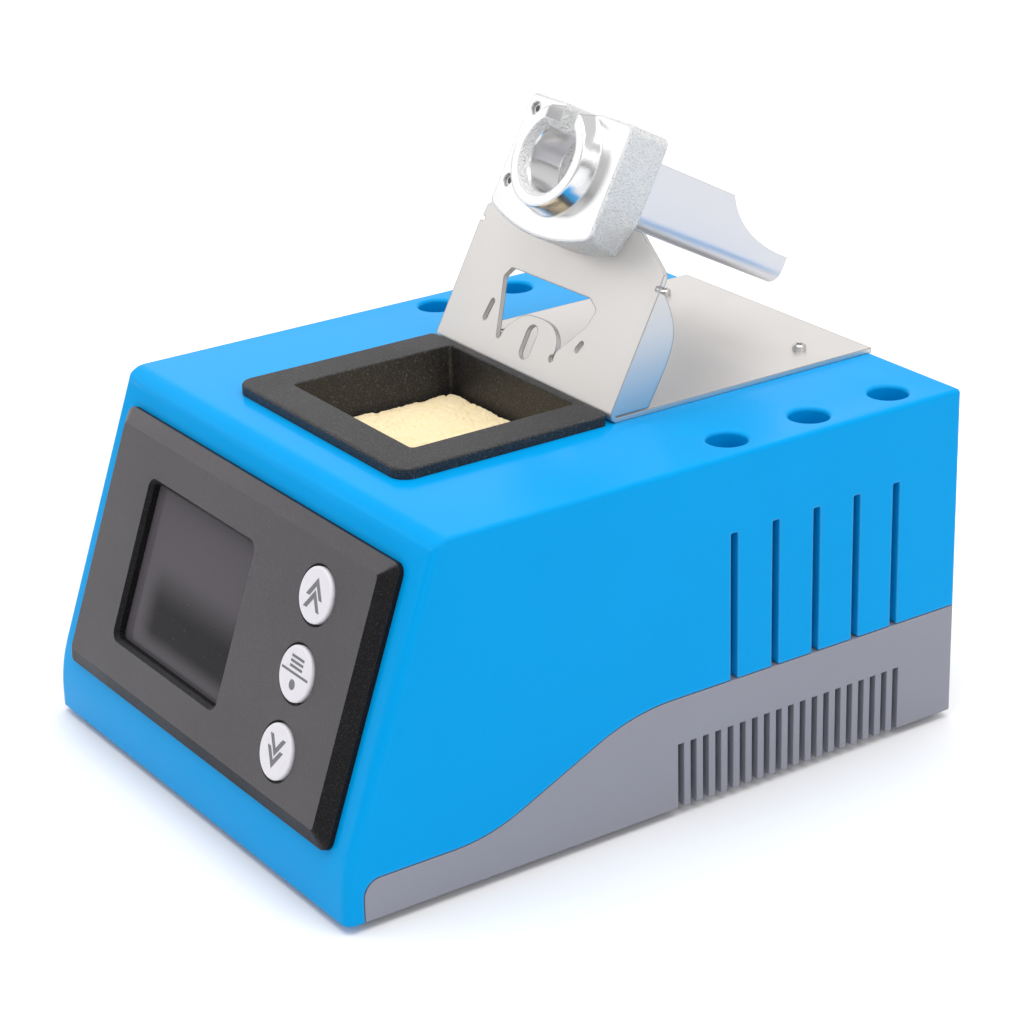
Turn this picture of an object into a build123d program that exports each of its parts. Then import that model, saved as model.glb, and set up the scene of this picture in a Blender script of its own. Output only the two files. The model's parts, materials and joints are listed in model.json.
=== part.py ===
from build123d import *
import os
from math import cos, radians, sin, tan

os.makedirs("parts", exist_ok=True)

# A soldering iron station: a sloped two-piece housing with a display panel, a lift-out
# sponge tray, a bent steel stand that carries the cast iron holder, and the electronics
# that such a station needs. Millimetres. +Z is up, the display panel faces -Y, and the
# origin is the middle of the footprint, on the surface that the rubber feet stand on.

# ---- housing
WIDTH = 128.2
LENGTH = 161.8
HEIGHT = 78.0
WALL = 2.5
FOOT = 2.0                 # how far the rubber feet lift the housing
PLINTH = 10.3              # upright strip below the sloped front
LEAN = 19.7                # the front leans back this many degrees
CREST_R = 5.5              # rounding between the slope and the top
BLEND_R = 38.0             # rounding between the plinth and the slope
CHEEK_W, CHEEK_R = 2.3, 2.4    # the front curves back over this width at each side
EDGE_R = 1.0
PART_Z = 26.35             # parting line of the two shells, above the housing's underside
PART_FRONT_Z = 9.3
PART_GAP = 0.25
LIP_H = 4.0                # the lower shell's lip, inside the upper shell's wall
# ---- bezel, measured across and up the slope from the plinth's top edge
BEZEL_HALF_W = 57.25
BEZEL_LOW = 3.6
BEZEL_HIGH = 64.8
BEZEL_T = 3.6
BEZEL_RIM = 1.3            # upright part of its edge, below the bevel
BEZEL_BEVEL = 3.5
SCREEN_X = -14.0
SCREEN_S = 34.35
SCREEN_W = 47.0
SCREEN_H = 38.3
LENS_T = 1.1
BUTTON_X = 35.4
BUTTON_S = {"button_up": 50.85, "button_menu": 33.87, "button_down": 16.9}
BUTTON_R = 5.95
BUTTON_PROUD = 0.6
PEG_X, PEG_S = 48.5, (10.5, 57.5)
BOARD_T = 1.6
BOARD_AT = -7.0            # the control board's front, below the panel's surface
# ---- top of the housing, y measured from the housing's middle
TRAY_HALF_W = 34.1
TRAY_FRONT, TRAY_BACK = -45.45, 7.1
TRAY_LIP = 2.5
WELL_HALF_W = 24.3
WELL_FRONT, WELL_BACK = -36.3, 5.3
WELL_DEPTH = 18.0
TRAY_WALL = 1.4
TIP_HOLE_X = 55.85
TIP_HOLE_Y = (22.07, 44.4, 66.73)
TIP_HOLE_R = 4.45
TIP_HOLE_DEPTH = 20.0
# ---- vents
SLOT_Y, SLOT_PITCH, SLOT_W, SLOT_TOP = 17.7, 11.22, 2.0, 60.45
VENT_Y, VENT_PITCH, VENT_COUNT, VENT_W, VENT_TOP = 3.35, 3.355, 19, 1.65, 15.3
# ---- stand and holder
SHEET = 1.2
TILT = 28.1                # the stand leans back, and the iron's axis dips, by this much
STAND_Y = 7.1              # where the leaning sheet's front face crosses STAND_Z
STAND_Z = 79.0
STAND_TOP = 39.9           # measured up the leaning face
HOLD_U = 48.03             # the iron's axis, up the leaning face
BLOCK_T = 10.85
BLOCK_HALF_W = 19.1
BLOCK_UP, BLOCK_DOWN = 12.4, 14.0
BORE_R = 7.8
MOUTH_R = 9.15
BOSS_R, BOSS_BASE_R, BOSS_H = 11.75, 13.0, 4.45
SLOT_HALF_W = 5.25
TROUGH_END = 55.5          # along the iron's axis, behind the block's face
TROUGH_HALF_W = 18.9
TROUGH_LOW, TROUGH_HIGH = -7.9, 7.1
TROUGH_WALL = 1.5
# ---- rear
TAIL = 6.5                 # how far the handle socket stands out behind the housing
PANEL_T = 2.0
INLET_X, INLET_Z = 22.0, 36.0
SWITCH_X, SWITCH_Z = -14.0, 36.0
SOCKET_X, SOCKET_Z = -35.0, 45.0
GROUND_X, GROUND_Z = -35.0, 24.0

lean = radians(LEAN)
tilt = radians(TILT)
half_w = WIDTH / 2
in_w = half_w - WALL
nose = BEZEL_T * cos(lean) - (BEZEL_LOW + BEZEL_BEVEL) * sin(lean)
MID = (nose - TAIL) / 2                # y of the housing's middle
FRONT = MID - LENGTH / 2
BACK = MID + LENGTH / 2
TOP = FOOT + HEIGHT
FLOOR = FOOT + WALL
crest = FRONT + (HEIGHT - PLINTH) * tan(lean)

panel = Plane(origin=(0, FRONT, FOOT + PLINTH), x_dir=(1, 0, 0), z_dir=(0, -cos(lean), sin(lean)))
leaf = Plane(origin=(0, MID + STAND_Y, FOOT + STAND_Z), x_dir=(1, 0, 0),
             z_dir=(0, -cos(tilt), sin(tilt)))
axis_y = MID + STAND_Y + HOLD_U * sin(tilt) - BLOCK_T * cos(tilt)
axis_z = FOOT + STAND_Z + HOLD_U * cos(tilt) + BLOCK_T * sin(tilt)
hold = Plane(origin=(0, axis_y, axis_z), x_dir=(1, 0, 0), z_dir=(0, -cos(tilt), sin(tilt)))


def rear(x, z, out=0.0):
    """A plane facing backwards, out mm behind the rear panel's outer face; its y axis is up."""
    return Plane(origin=(x, BACK - WALL + out, FOOT + z), x_dir=(-1, 0, 0), z_dir=(0, 1, 0))


def screw(shank_r, length, head_r, head_h):
    """A cross-head screw with its seat at the origin, pointing down -Z."""
    with BuildPart() as made:
        with BuildSketch():
            Circle(head_r)
        extrude(amount=head_h)
        fillet(made.edges().group_by(Axis.Z)[-1], head_h * 0.45)
        with BuildSketch():
            Circle(shank_r)
        extrude(amount=-length)
        with BuildSketch(Plane.XY.offset(head_h)):
            Rectangle(head_r * 1.15, head_r * 0.28)
            Rectangle(head_r * 0.28, head_r * 1.15)
        extrude(amount=-head_h * 0.6, mode=Mode.SUBTRACT)
    return made.part


def slot_row(first, pitch, count):
    """The y of each slot in a row along the side."""
    return [MID + first + pitch * i for i in range(count)]


# ================================================================ housing shells
with BuildPart() as outside:
    with BuildSketch(Plane.YZ) as side_view:
        with BuildLine():
            Polyline((FRONT, FOOT), (FRONT, FOOT + PLINTH), (crest, TOP), (BACK, TOP), (BACK, FOOT),
                     close=True)
        make_face()
        for y, z, radius in ((FRONT, FOOT + PLINTH, BLEND_R), (crest, TOP, CREST_R)):
            bend = side_view.vertices().sort_by(lambda v: abs(v.X - y) + abs(v.Y - z))[0]
            fillet(bend, radius)
    extrude(amount=half_w, both=True)
    # the front curves back towards both sides, and the rounding runs out over the crest
    with BuildLine() as climb:
        FilletPolyline((0, FRONT, FOOT - 1), (0, FRONT, FOOT + PLINTH),
                       (0, crest + 12 * sin(lean), TOP + 12 * cos(lean)), radius=BLEND_R)
    start_x = half_w - CHEEK_W
    middle, end = [(start_x + CHEEK_R * sin(radians(turn)), FRONT + CHEEK_R * (1 - cos(radians(turn))))
                   for turn in (42.5, 85)]
    for side in (-1, 1):
        with BuildSketch(Plane.XY.offset(FOOT - 1)):
            with BuildLine():
                ThreePointArc((side * start_x, FRONT), (side * middle[0], middle[1]), (side * end[0], end[1]))
                Polyline((side * end[0], end[1]), (side * (half_w + 1), end[1]),
                         (side * (half_w + 1), FRONT - 1.5), (side * start_x, FRONT - 1.5),
                         (side * start_x, FRONT))
            make_face()
        sweep(path=climb.wires()[0], mode=Mode.SUBTRACT)
    top_edges = outside.edges().filter_by(Axis.Y).group_by(Axis.Z)[-1]
    back_edges = outside.edges().filter_by(lambda e: e.center().Y > BACK - 0.1)
    fillet(list(top_edges) + list(back_edges), EDGE_R)

with BuildPart() as inside:
    with BuildSketch(Plane.YZ):
        with BuildLine():
            Polyline((FRONT, FOOT), (FRONT, FOOT + PLINTH), (crest, TOP), (BACK, TOP), (BACK, FOOT),
                     close=True)
        make_face()
        offset(amount=-WALL, kind=Kind.INTERSECTION, mode=Mode.REPLACE)
    extrude(amount=in_w, both=True)


def below_parting(drop):
    """Everything under the parting line, lowered by drop: a flat run at the back, an S-curve
    down the side, a low run forwards, and an upright end just behind the front corner."""
    high, low, edge_y = FOOT + PART_Z - drop, FOOT + PART_FRONT_Z - drop, FRONT + 4.2 + drop
    with BuildPart() as region:
        with BuildSketch(Plane.YZ) as outline:
            with BuildLine():
                Polyline((BACK + 5, FOOT - 5), (BACK + 5, high), (MID - 9, high), (MID - 46.1, low),
                         (edge_y, low), (edge_y, FOOT - 5), close=True)
            make_face()
            for y, radius in ((MID - 9, 46), (MID - 46.1, 40), (edge_y, 4)):
                turn = outline.vertices().filter_by(lambda v: abs(v.X - y) < 0.1).sort_by(Axis.Y)[-1]
                fillet(turn, radius)
        extrude(amount=WIDTH, both=True)
    return region.part


under = below_parting(0)
under_clear = below_parting(PART_GAP)
tip_spots = [(x, MID + y) for x in (-TIP_HOLE_X, TIP_HOLE_X) for y in TIP_HOLE_Y]
boss_spots = [(-57.3, MID - 52), (57.3, MID - 52), (-57.6, MID + 74.8), (57.6, MID + 74.8)]
BOSS_Z = 8.0                           # where the two shells' screw bosses meet
REAR_OPEN_W, REAR_LOW, REAR_HIGH = 97.0, 14.0, 66.0
panel_screw_spots = [(x, z) for x in (-51.4, 51.4) for z in (20.0, 60.0)]

with BuildPart() as upper_housing:
    add(outside.part)
    add(inside.part, mode=Mode.SUBTRACT)
    add(under, mode=Mode.SUBTRACT)
    # the lower shell's floor reaches forwards to the front wall
    with BuildSketch(Plane.XY.offset(FOOT - 1)):
        with Locations((0, FRONT + WALL + 2)):
            Rectangle(2 * in_w - 6, 4)
    extrude(amount=WALL + 1.2, mode=Mode.SUBTRACT)
    # tubes that hold spare tips, blind at the bottom
    with BuildSketch(Plane.XY.offset(TOP - WALL)):
        with Locations(*tip_spots):
            Circle(TIP_HOLE_R + 1.15)
    extrude(amount=-(TIP_HOLE_DEPTH - WALL + 1.5))
    # screw bosses down to the lower shell
    with BuildSketch(Plane.XY.offset(FOOT + BOSS_Z)):
        with Locations(*boss_spots):
            Circle(3.0)
    extrude(until=Until.NEXT)
    with BuildSketch(Plane.XY.offset(TOP + 1)):
        with Locations(*tip_spots):
            Circle(TIP_HOLE_R)
    extrude(amount=-(TIP_HOLE_DEPTH + 1), mode=Mode.SUBTRACT)
    mouths = upper_housing.edges().filter_by(GeomType.CIRCLE).filter_by(
        lambda e: abs(e.center().Z - TOP) < 0.01 and abs(e.radius - TIP_HOLE_R) < 0.01)
    fillet(mouths, 0.8)
    with BuildSketch(Plane.XY.offset(FOOT + BOSS_Z)):
        with Locations(*boss_spots):
            Circle(1.5)
    extrude(amount=13, mode=Mode.SUBTRACT)
    # the well for the sponge tray
    with BuildSketch(Plane.XY.offset(TOP + 1)):
        with Locations((0, MID + (WELL_FRONT + WELL_BACK) / 2)):
            Rectangle(2 * WELL_HALF_W + 3.4, WELL_BACK - WELL_FRONT + 3.3)
    extrude(amount=-WALL - 2, mode=Mode.SUBTRACT)
    # holes for the stand's screws
    with BuildSketch(Plane.XY.offset(TOP + 1)):
        with Locations(*[(x, MID + y) for x in (-25.2, 25.2) for y in (20.0, 67.1)]):
            Circle(1.3)
    extrude(amount=-WALL - 2, mode=Mode.SUBTRACT)
    # display, button and peg holes through the sloped front
    with BuildSketch(panel.offset(1)):
        with Locations((SCREEN_X, SCREEN_S)):
            Rectangle(56, 46)
        with Locations(*[(BUTTON_X, s) for s in BUTTON_S.values()]):
            Circle(7.2)
        with Locations(*[(x, s) for x in (-PEG_X, PEG_X) for s in PEG_S]):
            Circle(2.8)
    extrude(amount=-WALL - 2, mode=Mode.SUBTRACT)
    # side vents, open at the parting line
    for y in slot_row(SLOT_Y, SLOT_PITCH, 5):
        for side in (-1, 1):
            with BuildSketch(Plane.YZ.offset(side * (half_w + 1))):
                with Locations((y, FOOT + (SLOT_TOP + PART_Z - 2) / 2)):
                    RectangleRounded(SLOT_W, SLOT_TOP - PART_Z + 2, 0.4)
            extrude(amount=-side * (WALL + 1.05), mode=Mode.SUBTRACT)
    # rear opening and its screw holes
    with BuildSketch(rear(0, 0, 5)):
        with Locations((0, (REAR_LOW + REAR_HIGH) / 2)):
            RectangleRounded(REAR_OPEN_W, REAR_HIGH - REAR_LOW, 3)
        with Locations(*panel_screw_spots):
            Circle(1.6)
    extrude(amount=-8, mode=Mode.SUBTRACT)

standoff_spots = [(x, MID + y) for x in (-41.0, 41.0) for y in (-28.0, 44.0)]
foot_spots = [(x, MID + y) for x in (-50.0, 50.0) for y in (-64.0, 66.0)]
STANDOFF_H = 6.0
FOOT_R, FOOT_RECESS = 6.5, 0.8

with BuildPart() as lower_housing:
    add(outside.part)
    add(inside.part, mode=Mode.SUBTRACT)
    add(under_clear, mode=Mode.INTERSECT)
    # the floor reaches forwards, inside the upper shell's front wall
    with BuildSketch(Plane.XY.offset(FOOT)):
        with Locations((0, FRONT + WALL + 0.3 + 3)):
            Rectangle(2 * in_w - 8, 6)
    extrude(amount=WALL)
    # lip that locates the upper shell
    for side in (-1, 1):
        with BuildSketch(Plane.XY.offset(FOOT + PART_Z - 6)):
            with Locations((side * (in_w - 0.7), MID + 37)):
                Rectangle(1.4, 70)
        extrude(amount=6 - PART_GAP)
        with BuildSketch(Plane.XY.offset(FOOT + PART_Z - 1)):
            with Locations((side * (in_w - 0.8), MID + 37)):
                Rectangle(1.2, 70)
        extrude(amount=LIP_H + 1)
    with BuildSketch(Plane.XY.offset(FLOOR)):
        with Locations(*boss_spots):
            Circle(3.6)
    extrude(amount=BOSS_Z - WALL)
    with BuildSketch(Plane.XY.offset(FLOOR)):
        with Locations(*standoff_spots):
            Circle(3.4)
    extrude(amount=STANDOFF_H)
    with BuildSketch(Plane.XY.offset(FLOOR + 0.5)):
        with Locations(*standoff_spots):
            Circle(1.5)
    extrude(amount=STANDOFF_H, mode=Mode.SUBTRACT)
    # counterbored screw holes from below
    with BuildSketch(Plane.XY.offset(FOOT)):
        with Locations(*boss_spots):
            Circle(1.7)
    extrude(amount=BOSS_Z, mode=Mode.SUBTRACT)
    with BuildSketch(Plane.XY.offset(FOOT)):
        with Locations(*boss_spots):
            Circle(3.0)
    extrude(amount=3.4, mode=Mode.SUBTRACT)
    with BuildSketch(Plane.XY.offset(FOOT)):
        with Locations(*foot_spots):
            Circle(FOOT_R + 0.2)
    extrude(amount=FOOT_RECESS, mode=Mode.SUBTRACT)
    # comb of vents along both bottom edges
    for y in slot_row(VENT_Y, VENT_PITCH, VENT_COUNT):
        with BuildSketch(Plane.XY.offset(FOOT - 0.1)):
            with Locations((-half_w, y), (half_w, y)):
                Rectangle(2 * WALL, VENT_W)
        extrude(amount=VENT_TOP + 0.1, mode=Mode.SUBTRACT)
    # rear opening and its screw holes
    with BuildSketch(rear(0, 0, 5)):
        with Locations((0, (REAR_LOW + REAR_HIGH) / 2)):
            RectangleRounded(REAR_OPEN_W, REAR_HIGH - REAR_LOW, 3)
        with Locations(*panel_screw_spots):
            Circle(1.6)
    extrude(amount=-8, mode=Mode.SUBTRACT)

with BuildPart() as rubber_feet:
    with BuildSketch(Plane.XY.offset(FOOT + FOOT_RECESS)):
        with Locations(*foot_spots):
            Circle(FOOT_R)
    extrude(amount=-FOOT - FOOT_RECESS)
    fillet(rubber_feet.edges().group_by(Axis.Z)[0], 0.6)

housing_screw = screw(1.45, 13.0, 2.8, 2.2)
with BuildPart() as housing_screws:
    for x, y in boss_spots:
        with Locations(Plane(origin=(x, y, FOOT + 3.4), z_dir=(0, 0, -1))):
            add(housing_screw)

# ================================================================ display panel
screen_span = BEZEL_HIGH - BEZEL_LOW
screen_centre = (BEZEL_HIGH + BEZEL_LOW) / 2
with BuildPart() as front_bezel:
    with BuildSketch(panel):
        with Locations((0, screen_centre)):
            RectangleRounded(2 * BEZEL_HALF_W, screen_span, 2.5)
    extrude(amount=BEZEL_RIM)
    with BuildSketch(panel.offset(BEZEL_RIM)):
        with Locations((0, screen_centre)):
            RectangleRounded(2 * BEZEL_HALF_W, screen_span, 2.5)
    with BuildSketch(panel.offset(BEZEL_T)):
        with Locations((0, screen_centre)):
            RectangleRounded(2 * (BEZEL_HALF_W - BEZEL_BEVEL), screen_span - 2 * BEZEL_BEVEL, 0.8)
    loft()
    with BuildSketch(panel):
        with Locations((SCREEN_X, SCREEN_S)):
            RectangleRounded(SCREEN_W - 1.8, SCREEN_H - 1.8, 1.6)
        with Locations(*[(BUTTON_X, s) for s in BUTTON_S.values()]):
            Circle(BUTTON_R + 0.15)
    extrude(amount=BEZEL_T + 1, mode=Mode.SUBTRACT)
    face_edges = front_bezel.edges().filter_by(
        lambda e: abs(panel.to_local_coords(e.center()).Z - BEZEL_T) < 0.01)
    inner = face_edges.filter_by(lambda e: abs(panel.to_local_coords(e.center()).X) < BEZEL_HALF_W - 8
                                 and abs(panel.to_local_coords(e.center()).Y - screen_centre) < 22)
    rings = inner.filter_by(GeomType.CIRCLE).filter_by(lambda e: e.radius > 3)
    chamfer(rings, 0.45)
    window_edges = inner.filter_by(lambda e: panel.to_local_coords(e.center()).X < 20)
    chamfer(window_edges, 0.9)
    with BuildSketch(panel):
        with Locations((SCREEN_X, SCREEN_S)):
            Rectangle(50.2, 41.2)
    extrude(amount=LENS_T, mode=Mode.SUBTRACT)
    with BuildSketch(panel):
        with Locations(*[(x, s) for x in (-PEG_X, PEG_X) for s in PEG_S]):
            Circle(2.6)
    extrude(amount=BOARD_AT)
    with BuildSketch(panel.offset(BOARD_AT)):
        with Locations(*[(x, s) for x in (-PEG_X, PEG_X) for s in PEG_S]):
            Circle(1.25)
    extrude(amount=-BOARD_AT + 1, mode=Mode.SUBTRACT)

with BuildPart() as screen_lens:
    with BuildSketch(panel):
        with Locations((SCREEN_X, SCREEN_S)):
            Rectangle(50, 41)
    extrude(amount=LENS_T)

with BuildPart() as display_module:
    with BuildSketch(panel.offset(BOARD_AT)):
        with Locations((SCREEN_X, SCREEN_S)):
            Rectangle(54, 44)
    extrude(amount=-BOARD_AT - 0.3)
    with BuildSketch(panel.offset(-0.3)):
        with Locations((SCREEN_X, SCREEN_S)):
            Rectangle(45, 36)
    extrude(amount=-0.5, mode=Mode.SUBTRACT)

with BuildPart() as control_board:
    with BuildSketch(panel.offset(BOARD_AT)):
        with Locations((0, 34)):
            RectangleRounded(103, 56, 1.5)
        with Locations(*[(x, s) for x in (-PEG_X, PEG_X) for s in PEG_S]):
            Circle(1.6, mode=Mode.SUBTRACT)
    extrude(amount=-BOARD_T)

with BuildPart() as tact_switches:
    with BuildSketch(panel.offset(BOARD_AT)):
        with Locations(*[(BUTTON_X, s) for s in BUTTON_S.values()]):
            Rectangle(6, 6)
    extrude(amount=3.5)
    with BuildSketch(panel.offset(BOARD_AT + 3.5)):
        with Locations(*[(BUTTON_X, s) for s in BUTTON_S.values()]):
            Circle(1.75)
    extrude(amount=1.3)

board_back = BOARD_AT - BOARD_T
with BuildPart() as control_chips:
    for x, s, w, h, tall in ((-20, 30, 12, 12, 1.6), (6, 40, 8, 6, 1.8), (-38, 46, 10, 5, 6.0),
                             (24, 22, 6.5, 6.5, 2.2), (-2, 16, 10, 8, 2.4)):
        with BuildSketch(panel.offset(board_back)):
            with Locations((x, s)):
                Rectangle(w, h)
        extrude(amount=-tall)

with BuildPart() as ribbon_socket:
    with BuildSketch(panel.offset(board_back)):
        with Locations((17, 11)):
            Rectangle(20, 5)
    extrude(amount=-6)

board_screw = screw(1.2, 6.0, 2.6, 1.8)
with BuildPart() as control_board_screws:
    for x in (-PEG_X, PEG_X):
        for s in PEG_S:
            seat = panel.offset(board_back)
            with Locations(Plane(origin=seat.from_local_coords((x, s, 0)), x_dir=(1, 0, 0),
                                 z_dir=-panel.z_dir)):
                add(board_screw)

# ---- push buttons: a domed cap with an engraved sign, a flange behind the bezel, and a stem
buttons = {}
for name, s in BUTTON_S.items():
    face = panel.offset(BEZEL_T + BUTTON_PROUD)
    with BuildPart() as button:
        with BuildSketch(panel.offset(-0.9)):
            with Locations((BUTTON_X, s)):
                Circle(BUTTON_R)
        extrude(amount=BEZEL_T + BUTTON_PROUD + 0.9)
        fillet(button.edges().sort_by(lambda e: panel.to_local_coords(e.center()).Z)[-1], 0.5)
        with BuildSketch(panel.offset(-1.0)):
            with Locations((BUTTON_X, s)):
                Circle(6.8)
        extrude(amount=0.85)
        with BuildSketch(panel.offset(-1.65)):
            with Locations((BUTTON_X, s)):
                Circle(2.0)
        extrude(amount=0.7)
        with BuildSketch(face):
            if name == "button_menu":
                with Locations((BUTTON_X, s)):
                    Rectangle(10.2, 0.55)
                for row in range(3):
                    with Locations((BUTTON_X, s + 1.2 + 1.05 * row)):
                        Rectangle(4.8, 0.6)
                with Locations((BUTTON_X, s - 2.4)):
                    Circle(1.1)
            else:
                way = 1 if name == "button_up" else -1
                for tip in (0.0, 2.6):
                    with BuildLine():
                        Polyline(*[(BUTTON_X + dx, s + way * (dy - 1.0 + tip)) for dx, dy in
                                   ((-3.1, -2.2), (0, 2.1), (3.1, -2.2), (1.75, -2.2), (0, 0.2),
                                    (-1.75, -2.2))], close=True)
                    make_face()
        extrude(amount=-0.25, mode=Mode.SUBTRACT)
    buttons[name] = button

# ================================================================ sponge tray and sponge
with BuildPart() as sponge_tray:
    with BuildSketch(Plane.XY.offset(TOP)) as rim:
        with Locations((0, MID + (TRAY_FRONT + TRAY_BACK) / 2)):
            Rectangle(2 * TRAY_HALF_W, TRAY_BACK - TRAY_FRONT)
        corners = rim.vertices().group_by(Axis.Y)
        fillet(corners[0], 4)
        fillet(rim.vertices().group_by(Axis.Y)[-1], 1.5)
    extrude(amount=TRAY_LIP)
    fillet(sponge_tray.edges().group_by(Axis.Z)[-1], 0.6)
    well_mid = (0, MID + (WELL_FRONT + WELL_BACK) / 2)
    with BuildSketch(Plane.XY.offset(TOP)):
        with Locations(well_mid):
            RectangleRounded(2 * (WELL_HALF_W + TRAY_WALL), WELL_BACK - WELL_FRONT + 2 * TRAY_WALL, 2.4)
    extrude(amount=-WELL_DEPTH - TRAY_WALL)
    with BuildSketch(Plane.XY.offset(TOP + TRAY_LIP)):
        with Locations(well_mid):
            RectangleRounded(2 * WELL_HALF_W, WELL_BACK - WELL_FRONT, 1.0)
    extrude(amount=-WELL_DEPTH - TRAY_LIP, mode=Mode.SUBTRACT)
    brim = sponge_tray.edges().group_by(Axis.Z)[-1].filter_by(
        lambda e: abs(e.center().X) < WELL_HALF_W + 1 and e.center().Y > MID + WELL_FRONT - 1
        and e.center().Y < MID + WELL_BACK + 0.3)
    fillet(brim, 0.4)

SPONGE_GAP = 0.5
with BuildPart() as sponge:
    with BuildSketch(Plane.XY.offset(TOP - WELL_DEPTH + 0.1)):
        with Locations(well_mid):
            RectangleRounded(2 * (WELL_HALF_W - SPONGE_GAP), WELL_BACK - WELL_FRONT - 2 * SPONGE_GAP, 4)
    extrude(amount=10.0)
    fillet(sponge.edges().group_by(Axis.Z)[-1], 1.5)

# ================================================================ stand
bend_y = STAND_Y - (STAND_Z - HEIGHT) * tan(tilt)      # where the leaning face meets the top
back_y = BACK - MID - 0.1
top_y = STAND_Y + STAND_TOP * sin(tilt)
top_z = STAND_Z + STAND_TOP * cos(tilt)
in_y = bend_y + SHEET / cos(tilt) + SHEET * tan(tilt)
with BuildPart() as stand:
    with BuildSketch(Plane(origin=(0, MID, FOOT), x_dir=(0, 1, 0), z_dir=(1, 0, 0))) as bent:
        with BuildLine():
            Polyline((back_y, HEIGHT), (bend_y, HEIGHT), (top_y, top_z),
                     (top_y + SHEET * cos(tilt), top_z - SHEET * sin(tilt)), (in_y, HEIGHT + SHEET),
                     (back_y, HEIGHT + SHEET), close=True)
        make_face()
        front_corner = bent.vertices().sort_by(Axis.X)[0]
        fillet(front_corner, 1.8)
        rear_corner = bent.vertices().sort_by(lambda v: abs(v.X - in_y) + abs(v.Y - HEIGHT - SHEET))[0]
        fillet(rear_corner, 0.6)
    extrude(amount=TRAY_HALF_W, both=True)
    # side flanges, folded back from the leaning sheet
    for side in (-1, 1):
        sheet_at = side * TRAY_HALF_W - (SHEET if side > 0 else 0)
        with BuildSketch(Plane(origin=(sheet_at, MID, FOOT), x_dir=(0, 1, 0), z_dir=(1, 0, 0))):
            with BuildLine():
                foot_pt = (STAND_Y + 1.6 * sin(tilt) + 0.4, STAND_Z + 0.5)
                heel = (17.8, STAND_Z + 0.5)
                brow = (STAND_Y + 28.9 * sin(tilt) + 0.2, STAND_Z + 28.9 * cos(tilt))
                Line(foot_pt, heel)
                Spline(heel, (22.6, 87.9), (24.8, 94.8), (23.8, 100.8), (brow[0] + 1.4, brow[1]))
                Line((brow[0] + 1.4, brow[1]), brow)
                Line(brow, foot_pt)
            make_face()
        extrude(amount=SHEET)
    # shoulders, window with its tongue, and the small slots of the leaning sheet
    with BuildSketch(leaf.offset(1)):
        for side in (-1, 1):
            with BuildLine():
                Polyline((side * 40, 29.4), (side * 32.6, 29.4), (side * 32.6, 30.3), (side * 33.7, 30.6),
                         (side * 33.5, 33.2), (side * 31.4, 34.6), (side * 20.8, 40.2), (side * 20.8, 46),
                         (side * 40, 46), close=True)
            make_face()
    extrude(amount=-SHEET - 2, mode=Mode.SUBTRACT)
    with BuildSketch(leaf.offset(1)) as window:
        with BuildLine():
            Polyline((-12.9, 6.9), (-15.8, 14.3), (-18.1, 19.6), (-16.4, 22.0), (-12.1, 22.1),
                     (13.4, 22.5), (16.9, 20.6), (15.8, 16.6), (9.2, 8.8), (8.9, 6.9), close=True)
        make_face()
        fillet(window.vertices().filter_by(lambda v: v.Y > 19), 1.0)
        with BuildLine():
            Spline((-11.3, 5.5), (-10.7, 8.9), (-8.4, 11.5), (-5.7, 13.4), (-2.3, 14.1), (2.8, 14.1),
                   (5.1, 13.5), (7.1, 12.2), (8.0, 5.5))
            Line((8.0, 5.5), (-11.3, 5.5))
        make_face(mode=Mode.SUBTRACT)
        with Locations((-12.1, 7.0), (8.4, 7.0)):
            Circle(0.8)
    extrude(amount=-SHEET - 2, mode=Mode.SUBTRACT)
    with BuildSketch(leaf.offset(1)):
        with Locations((-1.1, 8.2)):
            SlotOverall(8.0, 3.8, rotation=90)
        with Locations((-18.8, 11.3)):
            SlotOverall(5.4, 1.5, rotation=82)
        with Locations((16.0, 11.8)):
            SlotOverall(3.0, 1.5, rotation=62)
    extrude(amount=-SHEET - 2, mode=Mode.SUBTRACT)
    with BuildSketch(leaf.offset(1)):
        with Locations((-9, HOLD_U - 13.0), (9, HOLD_U - 13.0)):
            Circle(1.6)
    extrude(amount=-SHEET - 2, mode=Mode.SUBTRACT)
    with BuildSketch(Plane.XY.offset(TOP - 1)):
        with Locations(*[(x, MID + y) for x in (-25.2, 25.2) for y in (20.0, 67.1)]):
            Circle(1.2)
    extrude(amount=4, mode=Mode.SUBTRACT)

stand_screw = screw(1.05, 8.0, 1.6, 1.5)
with BuildPart() as stand_screws:
    for x in (-25.2, 25.2):
        for y in (20.0, 67.1):
            with Locations((x, MID + y, TOP + SHEET)):
                add(stand_screw)

with BuildPart() as stand_nuts:
    with BuildSketch(Plane.XY.offset(TOP - WALL)):
        with Locations(*[(x, MID + y) for x in (-25.2, 25.2) for y in (20.0, 67.1)]):
            RegularPolygon(2.6, 6)
            Circle(1.1, mode=Mode.SUBTRACT)
    extrude(amount=-2.2)

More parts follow.
